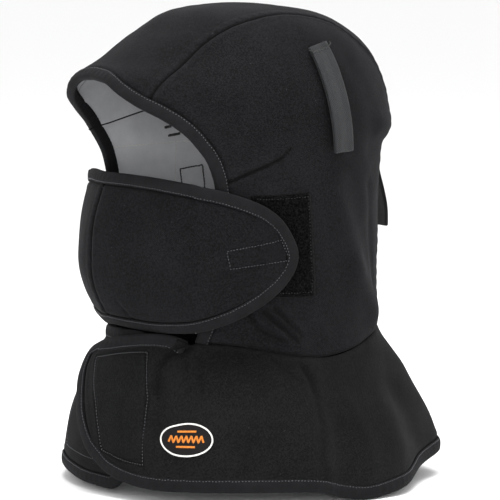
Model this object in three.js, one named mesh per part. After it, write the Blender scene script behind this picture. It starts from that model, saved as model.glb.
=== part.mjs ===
import * as THREE from "three";

// Hard hat liner: a cloth hood worn under a hard hat, with a bound face
// opening, a cape over neck and shoulders, and a cheek guard across the face.
// Frame: origin where the crown of the head sits, +Z up, -Y ahead of the
// wearer, +X to the wearer's left. All lengths are in millimetres.

// Driving sizes of the whole piece.
const HOOD_HEIGHT = 260;
const HOOD_DEPTH = 250;
const HOOD_WIDTH = 179;
const HOOD_CENTRE = -10;
const CAPE_DROP = 94;
const CAPE_REACH = 146;
const GUARD_HEIGHT = 119.5;
const GUARD_TOP = 119;
const GUARD_REACH = 122;
const GUARD_WIDTH = 194;

// Cloth thicknesses and the small gap kept between neighbouring layers.
const SHELL = 1.8;
const LINING = 1.5;
const GUARD_CLOTH = 2;
const BINDING_CLOTH = 1;
const GAP = 0.3;
const WALL = SHELL + GAP + LINING;

// Trim sizes.
const BINDING_WIDTH = 8.5;
const BINDING_OPEN = 0.7;
const WEBBING_WIDTH = 19;
const WEBBING = 1.2;
const LOOP_PATCH = 1.2;
const BADGE_LENGTH = 40;
const BADGE_HEIGHT = 25;
const BADGE_BORDER = 1.3;
const BADGE_CLOTH = 0.8;

// How far the two cape flaps stand apart where one laps over the other, and
// how far the guard stands off the hood where it lies on the cheeks.
const LAP = 2 * (GAP + BINDING_CLOTH + BINDING_OPEN) + SHELL + 1.6;
const GUARD_STAND = GUARD_CLOTH + GAP + BINDING_CLOTH + BINDING_OPEN + LOOP_PATCH + 3 * GAP;

// How finely each sheet is divided.
const SEAM_STEPS = 17;
const EDGE_STEPS = 10;
const CROWN_STEPS = 6;
const CAPE_STEPS = 54;
const GUARD_STEPS = 11;
const GUARD_ROWS = 6;

const DEG = Math.PI / 180;

// The hood in rings from the crown down. Drops and skew are shares of
// HOOD_HEIGHT, reaches and keel of HOOD_DEPTH, half_width of HOOD_WIDTH.
// Square is how boxy the front half of the ring is, 2 being an ellipse, and
// skew moves the lowest place of the ring from the side towards the back.
const HOOD = table(
  ["level", "front_drop", "side_drop", "back_drop", "front_reach", "back_reach", "half_width", "keel", "square", "skew"],
  [
    [0, 0, 0, 0, 0, 0, 0, 0, 2, 0],
    [1, 0.02, 0.014, 0.012, 0.196, 0.17, 0.23, 0, 2, 0],
    [2, 0.08, 0.06, 0.048, 0.304, 0.31, 0.36, 0, 2, 0],
    [3, 0.148, 0.145, 0.12, 0.396, 0.416, 0.438, 0.014, 2.1, 0],
    [4, 0.208, 0.245, 0.218, 0.468, 0.48, 0.485, 0.028, 2.4, 0],
    [5, 0.32, 0.36, 0.345, 0.49, 0.505, 0.5, 0.02, 2.9, 0],
    [6, 0.445, 0.475, 0.425, 0.492, 0.472, 0.5, 0, 3, 0],
    [7, 0.59, 0.63, 0.59, 0.475, 0.462, 0.494, 0, 2.9, 0],
    [8, 0.783, 0.8, 0.764, 0.44, 0.458, 0.48, 0, 2.4, 0.02],
    [9, 0.958, 0.983, 0.929, 0.404, 0.464, 0.46, 0, 2.1, 0.083],
  ],
);
const NECK_LEVEL = 9;

// Soft folds of the hood, each a band between two places. Turn is degrees
// from the back, height and width are shares of HOOD_DEPTH.
const HOOD_FOLDS = table(
  ["turn_a", "level_a", "turn_b", "level_b", "width", "height"],
  [
    [0, 5.1, 34, 4.95, 0.035, 0.012],
    [0, 5.6, 40, 5.55, 0.04, -0.008],
    [67, 6.3, 50, 7.8, 0.05, 0.012],
    [50, 7.8, 27, 8.7, 0.05, 0.014],
    [106, 8.55, 84, 8.85, 0.03, 0.01],
  ],
);

// The cloth edge around the face, from the middle of the brow to the throat.
const FACE_EDGE = table(
  ["turn", "level"],
  [
    [180, 3.83],
    [170, 3.97],
    [162, 4.27],
    [154, 4.53],
    [145.5, 4.76],
    [137.5, 5.08],
    [132.5, 5.42],
    [129, 5.73],
    [127, 6.04],
    [125.8, 6.4],
    [125.8, 7.1],
    [128, 7.8],
    [132, 8.5],
    [137, 9],
  ],
);
const THROAT_TURN = 137;
const BROW_TURN = 151;

// The seam between crown strip and side panel: across is towards the side,
// along runs from brow to nape, both in ring levels.
const CROWN_SEAM = table(
  ["across", "along"],
  [
    [1.92, -2.64],
    [1.7, -1.83],
    [1.54, -0.92],
    [1.36, 0],
    [1.27, 1.09],
    [1.29, 1.7],
    [1.4, 2.6],
    [1.5, 4],
    [2.05, 6.2],
    [2.8, 8.55],
  ],
);
const SEAM_CORNER = 7;

// The hem of the cape. Turn in degrees from the back, over 180 where a flap
// crosses the middle. Reach is a share of CAPE_REACH, drop of CAPE_DROP.
const HEM = table(
  ["turn", "reach", "drop"],
  [
    [-240, 0.85, 1],
    [-205, 0.855, 1],
    [-180, 0.87, 0.985],
    [-165, 0.885, 0.955],
    [-150, 0.905, 0.935],
    [-120, 0.93, 0.96],
    [-90, 0.98, 1],
    [-60, 1, 0.98],
    [-30, 1.03, 0.9],
    [0, 1.05, 0.84],
    [22, 1.05, 0.84],
    [40, 0.995, 0.9],
    [62, 1.005, 0.98],
    [78, 1.01, 1.03],
    [87, 0.997, 0.995],
    [95, 0.985, 0.94],
    [110, 0.96, 0.93],
    [135, 0.92, 0.935],
    [147, 0.9, 0.933],
    [157, 0.88, 0.905],
    [167, 0.87, 0.84],
    [176, 0.88, 0.785],
    [190, 0.885, 0.76],
    [240, 0.885, 0.76],
  ],
);

// Leading edges of the two flaps, by share of the drop from neck to hem.
const NEAR_EDGE = table(
  ["share", "turn"],
  [
    [0, 186],
    [0.09, 195],
    [0.2, 194.5],
    [0.36, 189.5],
    [0.54, 184.5],
    [0.73, 180.5],
    [0.91, 174.5],
    [1, 167],
  ],
);
const FAR_EDGE = table(
  ["share", "turn"],
  [
    [0, -196],
    [0.09, -203],
    [0.3, -205],
    [0.65, -204],
    [0.91, -199],
    [1, -194],
  ],
);
// How far the top edges of the flaps rise above the neck seam, as a share of
// CAPE_DROP. The far flap, which lies beneath, stands highest behind the guard.
const FLAP_RISE = table(
  ["turn", "rise"],
  [
    [-240, 0.06],
    [-205, 0.085],
    [-190, 0.1],
    [-168, 0.098],
    [-160, 0.074],
    [-152, 0.06],
    [-146, 0.042],
    [-141, 0.006],
    [-138.5, 0],
    [138.5, 0],
    [141, 0.015],
    [146, 0.055],
    [152, 0.075],
    [160, 0.08],
    [172, 0.058],
    [184, 0.018],
    [195, 0],
    [240, 0],
  ],
);
const CAPE_ROWS = [0, 0.09, 0.2, 0.34, 0.5, 0.66, 0.8, 0.91, 1];
// Where the cape columns crowd together, for its one deep fold.
const CROWD_TURN = 88;
const CROWD = 0.42;

// Folds of the cape. Turns at neck and hem, where it starts and ends as
// shares of the drop, width in degrees, height as a share of CAPE_REACH.
const CAPE_FOLDS = table(
  ["turn_top", "turn_hem", "from", "to", "width", "height"],
  [
    [84, 96, 0.02, 1.4, 9, 0.014],
    [76, 86, 0.05, 1.4, 6.5, -0.036],
    [14, 24, 0.02, 1.4, 8, 0.025],
    [48, 64, 0.2, 1.3, 8, 0.018],
    [34, 44, 0.1, 1.3, 8, -0.018],
    [112, 112, 0.1, 1.4, 9, -0.008],
    [130, 130, 0.15, 0.7, 6, -0.012],
    [148, 148, 0.1, 0.7, 5, -0.014],
    [-40, -48, 0.05, 1.4, 9, -0.022],
    [-84, -92, 0.05, 1.4, 9, -0.02],
  ],
);

// The cheek guard by share of its height from the top. Reach and keel are
// shares of GUARD_REACH, half_width of GUARD_WIDTH.
const GUARD = table(
  ["share", "reach", "half_width", "keel"],
  [
    [0, 0.725, 0.5, 0.135],
    [0.22, 0.785, 0.5, 0.165],
    [0.45, 0.82, 0.5, 0.172],
    [0.65, 0.82, 0.5, 0.17],
    [0.83, 0.78, 0.497, 0.155],
    [1, 0.68, 0.49, 0.125],
  ],
);
const GUARD_SQUARE = 3.7;
// Its cloth outline from the centre seam to the rounded end at the cheek.
const GUARD_OUTLINE = table(
  ["top_turn", "top", "bottom_turn", "bottom"],
  [
    [180, 0.035, 180, 0.965],
    [168, 0.035, 168, 0.985],
    [154, 0.045, 154, 0.995],
    [140, 0.066, 139, 0.985],
    [129, 0.094, 128.5, 0.95],
    [120.5, 0.133, 120, 0.905],
    [112, 0.18, 112, 0.845],
    [103.5, 0.245, 105, 0.785],
    [97, 0.33, 98.5, 0.715],
    [93.2, 0.42, 93.7, 0.64],
  ],
);

// The fuzzy patches on the sides that the guard fastens to.
const LOOP_FRONT_TURN = 112;
const LOOP_REAR_TOP_TURN = 80.5;
const LOOP_REAR_BOTTOM_TURN = 76;
const LOOP_TOP_LEVEL = 6.36;
const LOOP_BOTTOM_LEVEL = 8.1;

// Where the hook patch lies inside each end of the guard, in turns and in
// shares of the guard height.
const HOOK_FRONT_TURN = 118;
const HOOK_REAR_TURN = 101;
const HOOK_TOP = 0.43;
const HOOK_BOTTOM = 0.57;

// Webbing straps: where they are sewn, where they end, and how far the free
// end stands off the cloth, as a share of the webbing width.
const STRAPS = table(
  ["top_turn", "top_level", "end_turn", "end_level", "stand_off"],
  [
    [69, 2.74, 64.5, 5.47, 0.16],
    [0, 6, 0, 7.4, 0.7],
  ],
);

// The oval badge on the near flap.
const BADGE_TURN = 135;
const BADGE_SHARE = 0.645;

// Cloth colours with how each takes the light.
const CLOTH = { color: 0x2b2b2e, roughness: 0.92, metalness: 0 };
const BINDING = { color: 0x29292b, roughness: 0.8, metalness: 0 };
const SILVER = { color: 0x8a8b8e, roughness: 0.55, metalness: 0 };
const FUZZ = { color: 0x121213, roughness: 1, metalness: 0 };
const HOOK = { color: 0x1c1c1e, roughness: 0.9, metalness: 0 };
const WEB = { color: 0x3a3b3c, roughness: 0.75, metalness: 0 };
const WEB_BLACK = { color: 0x141415, roughness: 0.75, metalness: 0 };
const BADGE_BLACK = { color: 0x161214, roughness: 0.7, metalness: 0 };
const BADGE_WHITE = { color: 0xe9e8e4, roughness: 0.7, metalness: 0 };

// A table keeps each column under its name, rows staying in order.
function table(columns, rows) {
  const out = { count: rows.length };
  columns.forEach((name, i) => {
    out[name] = rows.map((row) => row[i]);
  });
  return out;
}

// Smooth value of one column where the key column has the given value.
function smooth(key, column, at, flatStart = false) {
  const n = key.length;
  const slope = (i) => {
    const a = Math.max(i - 1, 0);
    const b = Math.min(i + 1, n - 1);
    if (flatStart && i === 0) return 0;
    return (column[b] - column[a]) / (key[b] - key[a]);
  };
  let i = 0;
  while (i < n - 2 && at > key[i + 1]) i += 1;
  const h = key[i + 1] - key[i];
  const s = (at - key[i]) / h;
  const s2 = s * s;
  const s3 = s2 * s;
  return (2 * s3 - 3 * s2 + 1) * column[i]
    + (s3 - 2 * s2 + s) * slope(i) * h
    + (3 * s2 - 2 * s3) * column[i + 1]
    + (s3 - s2) * slope(i + 1) * h;
}

function ease(value, from, to) {
  const s = Math.min(Math.max((value - from) / (to - from), 0), 1);
  return s * s * (3 - 2 * s);
}

function mix(a, b, s) {
  return a + (b - a) * s;
}

// Radius of a ring that is an ellipse behind and boxier in front, with a
// keel along the middle of the front.
function ringRadius(turn, front, back, half, square, keel, keelPower) {
  const c = Math.cos(turn);
  const s = Math.abs(Math.sin(turn));
  const ahead = c < 0;
  const reach = Math.max(ahead ? front : back, 1e-6);
  const wide = Math.max(half, 1e-6);
  const e = ahead ? square : 2;
  const oval = ((s / wide) ** e + (Math.abs(c) / reach) ** e) ** (-1 / e);
  return oval + keel * Math.max(-c, 0) ** keelPower;
}

// Radius and height of the hood at a turn (radians) and a ring level.
function hoodRing(turn, level) {
  const col = (name, flat) => smooth(HOOD.level, HOOD[name], level, flat);
  const front = col("front_drop", true);
  const side = col("side_drop", true);
  const back = col("back_drop", true);
  const c = Math.cos(turn);
  const swing = ((back - front) / 2) * c + ((front + back) / 2 - side) * c * c;
  const drop = side + swing + col("skew") * (c - c * c * c);
  const radius = ringRadius(
    turn,
    col("front_reach") * HOOD_DEPTH,
    col("back_reach") * HOOD_DEPTH,
    col("half_width") * HOOD_WIDTH,
    col("square"),
    col("keel") * HOOD_DEPTH,
    8,
  );
  return { radius, z: WALL - drop * HOOD_HEIGHT };
}

function place(turn, radius, z) {
  return new THREE.Vector3(radius * Math.sin(turn), HOOD_CENTRE + radius * Math.cos(turn), z);
}

// Height added by one soft fold at a place on the hood. The distance is
// measured from the line between the two ends of the fold.
function hoodFold(point, i) {
  const end = (turn, level) => {
    const ring = hoodRing(turn * DEG, level);
    return place(turn * DEG, ring.radius, ring.z);
  };
  const a = end(HOOD_FOLDS.turn_a[i], HOOD_FOLDS.level_a[i]);
  const b = end(HOOD_FOLDS.turn_b[i], HOOD_FOLDS.level_b[i]);
  const q = new THREE.Vector3(Math.abs(point.x), point.y, point.z);
  const ab = b.clone().sub(a);
  const s = Math.min(Math.max(q.clone().sub(a).dot(ab) / ab.lengthSq(), 0), 1);
  const d = q.distanceTo(a.addScaledVector(ab, s)) / (HOOD_FOLDS.width[i] * HOOD_DEPTH);
  return HOOD_FOLDS.height[i] * HOOD_DEPTH * Math.exp(-d * d);
}

// Bare hood surface at (across, along): turn is the direction in that plane
// and ring level the distance from its middle, so the crown has no pole.
function hoodBase([across, along]) {
  const level = Math.max(Math.hypot(across, along), 1e-6);
  const turn = Math.atan2(across, along);
  const ring = hoodRing(turn, level);
  const point = place(turn, ring.radius, ring.z);
  let lift = 0;
  for (let i = 0; i < HOOD_FOLDS.count; i += 1) lift += hoodFold(point, i);
  return place(turn, ring.radius + lift, ring.z);
}

// Bare cape surface at (turn in degrees, share of the drop). Above the neck
// seam the flaps stand upright, below it the cape flares.
function capeBase([degrees, share]) {
  const turn = degrees * DEG;
  const neck = hoodRing(turn, NECK_LEVEL);
  const hem = smooth(HEM.turn, HEM.reach, degrees) * CAPE_REACH;
  const drop = smooth(HEM.turn, HEM.drop, degrees) * CAPE_DROP;
  const seam = neck.z - 2 * GAP;
  const top = seam + smooth(FLAP_RISE.turn, FLAP_RISE.rise, degrees) * CAPE_DROP;
  const bottom = WALL - HOOD_HEIGHT - drop;
  const z = mix(top, bottom, share);
  const v = Math.min(Math.max((seam - z) / (seam - bottom), 0), 1);
  const flare = mix(ease(v ** 0.93, 0, 1), 1 - (1 - v) ** 1.8, 0.5);
  const bulge = 1 - (1 - v) ** 2.4;
  const ahead = Math.max(-Math.cos(turn), 0) ** 2;
  const out = mix(flare, bulge, ahead);
  const lap = (LAP / 2) * Math.sign(degrees) * ease(Math.abs(degrees), 112, 152);
  let fold = 0;
  for (let i = 0; i < CAPE_FOLDS.count; i += 1) {
    const line = mix(CAPE_FOLDS.turn_top[i], CAPE_FOLDS.turn_hem[i], v);
    const d = (degrees - line) / CAPE_FOLDS.width[i];
    const fade = ease(v, CAPE_FOLDS.from[i], CAPE_FOLDS.from[i] + 0.35)
      * (1 - ease(v, CAPE_FOLDS.to[i] - 0.3, CAPE_FOLDS.to[i]));
    fold += CAPE_FOLDS.height[i] * CAPE_REACH * Math.exp(-d * d) * fade;
  }
  return place(turn, neck.radius + (hem - neck.radius) * out + lap + fold, z);
}

// Hood radius at a turn and a height, found by halving the level.
function hoodRadiusAt(turn, z) {
  let low = 4;
  let high = NECK_LEVEL;
  for (let i = 0; i < 24; i += 1) {
    const mid = (low + high) / 2;
    if (hoodRing(turn, mid).z > z) low = mid;
    else high = mid;
  }
  return hoodRing(turn, low).radius;
}

// Bare guard surface at (turn in degrees, share of its height). Over the
// cheeks it rides on the hood, ahead of the mouth it keeps its own curve.
function guardBase([degrees, share]) {
  const turn = degrees * DEG;
  const z = WALL - GUARD_TOP - share * GUARD_HEIGHT;
  const reach = smooth(GUARD.share, GUARD.reach, share) * GUARD_REACH;
  const half = smooth(GUARD.share, GUARD.half_width, share) * GUARD_WIDTH;
  const keel = smooth(GUARD.share, GUARD.keel, share) * GUARD_REACH;
  const own = ringRadius(turn, reach, reach, half, GUARD_SQUARE, keel, 10);
  const free = ease(Math.abs(180 - degrees), 50, 30);
  const rest = hoodRadiusAt(turn, z) + GUARD_STAND - free * GUARD_REACH * 0.4;
  const radius = (own + rest + Math.hypot(own - rest, 1)) / 2;
  return place(turn, radius, z);
}

// A surface gives the point at a place and a height above the bare cloth.
function surface(base, stepA, stepB) {
  return (at, height) => {
    const [a, b] = at;
    const da = base([a + stepA, b]).sub(base([a - stepA, b]));
    const db = base([a, b + stepB]).sub(base([a, b - stepB]));
    const out = da.cross(db).normalize();
    return base(at).addScaledVector(out, height);
  };
}
const onHood = surface(hoodBase, 1e-3, 1e-3);
const onCape = surface(capeBase, 0.1, 2e-3);
const onGuard = surface(guardBase, 0.1, 2e-3);

// A closed body from points and triangles, turned so that it faces out.
function closedBody(points, triangles) {
  let volume = 0;
  triangles.forEach(([i, j, k]) => {
    volume += points[i].dot(points[j].clone().cross(points[k]));
  });
  const index = [];
  triangles.forEach(([i, j, k]) => {
    if (volume > 0) index.push(i, j, k);
    else index.push(i, k, j);
  });
  const geometry = new THREE.BufferGeometry();
  const xyz = points.flatMap((p) => [p.x, p.y, p.z]);
  geometry.setAttribute("position", new THREE.Float32BufferAttribute(xyz, 3));
  geometry.setIndex(index);
  geometry.computeVertexNormals();
  return geometry;
}

// Cloth between two heights over one or more grids of places. Grids that
// share an edge are welded there, and free edges are closed.
function thickSheet(grids, on, top, bottom) {
  const places = [];
  const known = new Map();
  const number = (at) => {
    const key = at.map((x) => Math.round(x * 1e5)).join();
    if (!known.has(key)) {
      known.set(key, places.length);
      places.push(at);
    }
    return known.get(key);
  };
  const faces = [];
  const area = ([a, b], [c, d], [e, f]) => (c - a) * (f - b) - (e - a) * (d - b);
  grids.forEach((grid) => {
    const facesOut = area(grid[0][0], grid[1][0], grid[1][1]) > 0;
    for (let i = 0; i + 1 < grid.length; i += 1) {
      for (let j = 0; j + 1 < grid[i].length; j += 1) {
        const a = number(grid[i][j]);
        const b = number(grid[i + 1][j]);
        const c = number(grid[i + 1][j + 1]);
        const d = number(grid[i][j + 1]);
        if (facesOut) faces.push([a, b, c], [a, c, d]);
        else faces.push([a, c, b], [a, d, c]);
      }
    }
  });
  const count = places.length;
  const points = places.map((at) => on(at, top)).concat(places.map((at) => on(at, bottom)));
  const edges = new Set();
  faces.forEach(([a, b, c]) => {
    [[a, b], [b, c], [c, a]].forEach(([i, j]) => edges.add(i + "," + j));
  });
  const triangles = [];
  faces.forEach(([a, b, c]) => {
    triangles.push([a, b, c], [a + count, c + count, b + count]);
    [[a, b], [b, c], [c, a]].forEach(([i, j]) => {
      if (edges.has(j + "," + i)) return;
      triangles.push([j, i, i + count], [j, i + count, j + count]);
    });
  });
  return closedBody(points, triangles);
}

// Sweep of a ring of points along stations, capped at its ends if open.
// Slants says for each station which way its faces are halved, so that a
// binding is halved like the cloth under it.
function sweep(rings, outline, closed, slants = []) {
  const n = outline.length;
  const points = rings.flat();
  const triangles = [];
  const last = closed ? rings.length : rings.length - 1;
  for (let i = 0; i < last; i += 1) {
    const here = i * n;
    const next = ((i + 1) % rings.length) * n;
    for (let k = 0; k < n; k += 1) {
      const m = (k + 1) % n;
      const inwards = outline[m].x > outline[k].x;
      if (inwards === Boolean(slants[i])) {
        triangles.push([here + k, next + k, next + m], [here + k, next + m, here + m]);
      } else {
        triangles.push([here + k, next + k, here + m], [next + k, next + m, here + m]);
      }
    }
  }
  if (!closed) {
    const end = (rings.length - 1) * n;
    const { area } = THREE.ShapeUtils;
    const sense = Math.sign(area(outline));
    THREE.ShapeUtils.triangulateShape(outline, []).forEach(([a, b, c]) => {
      const turned = area([outline[a], outline[b], outline[c]]) * sense < 0;
      const [p, q, r] = turned ? [a, c, b] : [a, b, c];
      triangles.push([p, q, r], [end + p, end + r, end + q]);
    });
  }
  return closedBody(points, triangles);
}

// Binding folded over a cloth edge. Each rail is a row of grid places from
// the edge inwards, so that the binding lies along the facets of the cloth.
function binding(rails, slants, on, cloth, closed) {
  const skin = GAP + BINDING_CLOTH;
  const open = BINDING_OPEN;
  const outline = [
    [BINDING_WIDTH, skin + open],
    [-GAP - 0.4 * BINDING_CLOTH, skin],
    [-skin, GAP],
    [-skin, -cloth - GAP],
    [-GAP - 0.4 * BINDING_CLOTH, -cloth - skin],
    [BINDING_WIDTH, -cloth - skin - open],
    [BINDING_WIDTH, -cloth - GAP - open],
    [-GAP, -cloth - GAP],
    [-GAP, GAP],
    [BINDING_WIDTH, GAP + open],
  ].map(([x, y]) => new THREE.Vector2(x, y));
  const n = rails.length;
  const rings = rails.map((rail, i) => {
    const before = rails[closed ? (i + n - 1) % n : Math.max(i - 1, 0)];
    const after = rails[closed ? (i + 1) % n : Math.min(i + 1, n - 1)];
    const along = on(after[0], 0).sub(on(before[0], 0)).normalize();
    const into = on(rail[1], 0).sub(on(rail[0], 0)).normalize();
    const square = into.clone().addScaledVector(along, -into.dot(along)).length();
    return outline.map(({ x, y }) => {
      let left = x / Math.max(square, 0.8);
      let k = 0;
      let length = on(rail[0], 0).distanceTo(on(rail[1], 0));
      while (left > length && k + 2 < rail.length) {
        left -= length;
        k += 1;
        length = on(rail[k], 0).distanceTo(on(rail[k + 1], 0));
      }
      return on(rail[k], y).lerp(on(rail[k + 1], y), left / length);
    });
  });
  return sweep(rings, outline, closed, slants);
}

// Places at equal steps of cloth along a curve of places, except that the
// first or last step can be given, to leave room for a binding.
function evenPlaces(curve, on, steps, lead = 0, tail = 0) {
  const fine = 240;
  const at = [];
  const run = [0];
  for (let i = 0; i <= fine; i += 1) {
    at.push(curve(i / fine));
    if (i > 0) run.push(run[i - 1] + on(at[i], 0).distanceTo(on(at[i - 1], 0)));
  }
  const out = [];
  let k = 0;
  const inner = steps - (lead > 0 ? 1 : 0) - (tail > 0 ? 1 : 0);
  for (let i = 0; i <= steps; i += 1) {
    const s = (lead > 0 ? i - 1 : i) / inner;
    let want = lead + (run[fine] - lead - tail) * s;
    if (i === 0) want = 0;
    if (i === steps) want = run[fine];
    while (k < fine - 1 && run[k + 1] < want) k += 1;
    const t = Math.min(Math.max((want - run[k]) / (run[k + 1] - run[k]), 0), 1);
    out.push([mix(at[k][0], at[k + 1][0], t), mix(at[k][1], at[k + 1][1], t)]);
  }
  return out;
}

// Smooth curve through places, by their running distance.
function through(places) {
  const run = [0];
  for (let i = 1; i < places.length; i += 1) {
    const [a, b] = [places[i - 1], places[i]];
    run.push(run[i - 1] + Math.hypot(b[0] - a[0], b[1] - a[1]));
  }
  const first = places.map((p) => p[0]);
  const second = places.map((p) => p[1]);
  const total = run[run.length - 1];
  return (s) => [smooth(run, first, s * total), smooth(run, second, s * total)];
}

// How far each place lies along a row of places, as a share of its length.
function shares(places, on) {
  const run = [0];
  for (let i = 1; i < places.length; i += 1) {
    run.push(run[i - 1] + on(places[i], 0).distanceTo(on(places[i - 1], 0)));
  }
  return run.map((x) => x / run[run.length - 1]);
}

// Grid of places filled in between four edges of places.
function fillGrid(start, finish, left, right, on) {
  const cols = start.length - 1;
  const [p00, p01, p10, p11] = [start[0], start[cols], finish[0], finish[cols]];
  const down = shares(left, on);
  const over = shares(start, on);
  return left.map((_, i) => start.map((__, j) => [0, 1].map((k) => {
    const v = down[i];
    const u = over[j];
    const ruled = mix(start[j][k], finish[j][k], v) + mix(left[i][k], right[i][k], u);
    return ruled - mix(mix(p00[k], p01[k], u), mix(p10[k], p11[k], u), v);
  })));
}

// Copy of a grid with one side drawn in by a distance along the cloth.
function drawIn(grid, side, on, distance) {
  const out = grid.map((row) => row.map((at) => at.slice()));
  const rows = grid.length;
  const cols = grid[0].length;
  const move = (i, j, m, n) => {
    const far = on(grid[i][j], 0).distanceTo(on(grid[m][n], 0));
    out[i][j] = [0, 1].map((k) => mix(grid[i][j][k], grid[m][n][k], distance / far));
  };
  for (let i = 0; i < rows; i += 1) {
    if (side === "left") move(i, 0, i, 1);
    if (side === "right") move(i, cols - 1, i, cols - 2);
  }
  for (let j = 0; j < cols; j += 1) {
    if (side === "start") move(0, j, 1, j);
  }
  return out;
}

const flip = (grid) => grid.map((row) => row.map(([a, b]) => [-a, b]).reverse());
const polar = (turn, level) => [level * Math.sin(turn * DEG), level * Math.cos(turn * DEG)];

// The face edge as one curve, and the place where the crown seam meets it.
const faceCurve = through(FACE_EDGE.turn.map((turn, i) => polar(turn, FACE_EDGE.level[i])));
let browShare = 0;
while (Math.atan2(...faceCurve(browShare)) > BROW_TURN * DEG) browShare += 1e-3;
const brow = faceCurve(browShare);

// Edges of the near side panel, each shared with its neighbour.
const seamPlaces = CROWN_SEAM.across.map((across, i) => [across, CROWN_SEAM.along[i]]);
const nape = seamPlaces[seamPlaces.length - 1];
const napeTurn = Math.atan2(nape[0], nape[1]) / DEG;
const seamEnd = polar(napeTurn, NECK_LEVEL);
const overCrown = [brow, ...seamPlaces.slice(0, SEAM_CORNER + 1)];
const downNape = [...seamPlaces.slice(SEAM_CORNER, -1), seamEnd];
const EDGE_ROOM = BINDING_WIDTH + GAP;
const seamOver = evenPlaces(through(overCrown), onHood, SEAM_STEPS, EDGE_ROOM);
const seamDown = evenPlaces(through(downNape), onHood, EDGE_STEPS);
const faceSide = evenPlaces((s) => faceCurve(mix(browShare, 1, s)), onHood, EDGE_STEPS);
const neckCurve = (s) => polar(mix(THROAT_TURN, napeTurn, s), NECK_LEVEL);
const neckSide = evenPlaces(neckCurve, onHood, SEAM_STEPS, EDGE_ROOM);

// Rows of the side run from crown seam to neck, columns from face to nape.
const sideGrid = fillGrid(seamOver, neckSide, faceSide, seamDown, onHood);
const seam = seamOver.concat(seamDown.slice(1));
const browCurve = (s) => {
  const [across, along] = faceCurve(Math.abs(2 * s - 1) * browShare);
  return [Math.sign(s - 0.5) * across, along];
};
const browEdge = evenPlaces(browCurve, onHood, CROWN_STEPS);
browEdge[0] = [-brow[0], brow[1]];
browEdge[CROWN_STEPS] = brow;
const napeEdge = evenPlaces((s) => polar(mix(-napeTurn, napeTurn, s), NECK_LEVEL), onHood, CROWN_STEPS);
const crownGrid = fillGrid(browEdge, napeEdge, seam.map(([a, b]) => [-a, b]), seam, onHood);
const farSideGrid = flip(sideGrid);

const HALF_GAP = GAP / 2;
const crownCut = drawIn(drawIn(crownGrid, "left", onHood, HALF_GAP), "right", onHood, HALF_GAP);
const sideCut = drawIn(drawIn(sideGrid, "start", onHood, HALF_GAP), "right", onHood, HALF_GAP);

// Rails of the face binding, from the near throat over the brow to the far.
const nearRails = sideGrid.map((row) => row.slice(0, 3)).reverse();
const browRails = crownGrid[0].map((_, j) => [0, 1, 2].map((i) => crownGrid[i][j])).reverse();
const farRails = nearRails.map((rail) => rail.map(([a, b]) => [-a, b])).reverse();
const faceRails = [...nearRails.slice(0, -1), ...browRails, ...farRails.slice(1)];

// The cape grid: rows from neck to hem, columns from far flap to near flap.
const farTurn = (v) => smooth(FAR_EDGE.share, FAR_EDGE.turn, v);
const nearTurn = (v) => smooth(NEAR_EDGE.share, NEAR_EDGE.turn, v);
const crowdShare = (CROWD_TURN - farTurn(0.5)) / (nearTurn(0.5) - farTurn(0.5));
const EDGE_SHARE = EDGE_ROOM / (CAPE_REACH * (nearTurn(0.5) - farTurn(0.5)) * DEG);
const capeShare = (j) => {
  if (j === 0) return 0;
  if (j === CAPE_STEPS) return 1;
  const u = (j - 1) / (CAPE_STEPS - 2);
  const wave = (s) => Math.sin(2 * Math.PI * (s - crowdShare));
  const crowded = u - (CROWD / (2 * Math.PI)) * (wave(u) - wave(0));
  return mix(EDGE_SHARE, 1 - EDGE_SHARE, crowded);
};
const capeGrid = CAPE_ROWS.map((v) => {
  const row = [];
  for (let j = 0; j <= CAPE_STEPS; j += 1) {
    row.push([mix(farTurn(v), nearTurn(v), capeShare(j)), v]);
  }
  return row;
});

// Rails around the free edges of the cape, from throat to throat.
const capeLast = CAPE_ROWS.length - 1;
const bindFrom = THROAT_TURN + 3.5;
const topCols = capeGrid[0].map((at, j) => j);
const nearTop = topCols.filter((j) => capeGrid[0][j][0] > bindFrom && j < CAPE_STEPS);
const farTop = topCols.filter((j) => capeGrid[0][j][0] < -bindFrom && j > 0);
const capeRail = (i, j, down, over) => {
  return [0, 1, 2, 3].map((k) => capeGrid[i + k * down][j + k * over]);
};
const middleRows = CAPE_ROWS.map((_, i) => i).slice(1, -1);
const hemCols = topCols.slice(1, -1);
const capeRails = [
  ...nearTop.map((j) => capeRail(0, j, 1, 0)),
  capeRail(0, CAPE_STEPS, 1, -1),
  ...middleRows.map((i) => capeRail(i, CAPE_STEPS, 0, -1)),
  capeRail(capeLast, CAPE_STEPS, -1, -1),
  ...hemCols.map((j) => capeRail(capeLast, j, -1, 0)).reverse(),
  capeRail(capeLast, 0, -1, 1),
  ...middleRows.map((i) => capeRail(i, 0, 0, 1)).reverse(),
  capeRail(0, 0, 1, 1),
  ...farTop.map((j) => capeRail(0, j, 1, 0)),
];

// Rails that run down or up a column of the cloth grid are slanted one way,
// those that run along a row the other way.
function slantsOf(rails) {
  return rails.map((rail, i) => {
    const next = rails[(i + 1) % rails.length];
    const along = Math.abs(rail[0][1] - next[0][1]);
    const into = Math.abs(rail[0][1] - rail[1][1]);
    return into > along;
  });
}

// The guard grid: rows from top to bottom, columns far end to near end.
const guardRun = GUARD_OUTLINE.top.map((_, i) => i);
const guardRow = (turns, heights) => (s) => {
  const at = s * (GUARD_OUTLINE.count - 1);
  return [smooth(guardRun, turns, at), smooth(guardRun, heights, at)];
};
const topRow = guardRow(GUARD_OUTLINE.top_turn, GUARD_OUTLINE.top);
const bottomRow = guardRow(GUARD_OUTLINE.bottom_turn, GUARD_OUTLINE.bottom);
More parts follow.
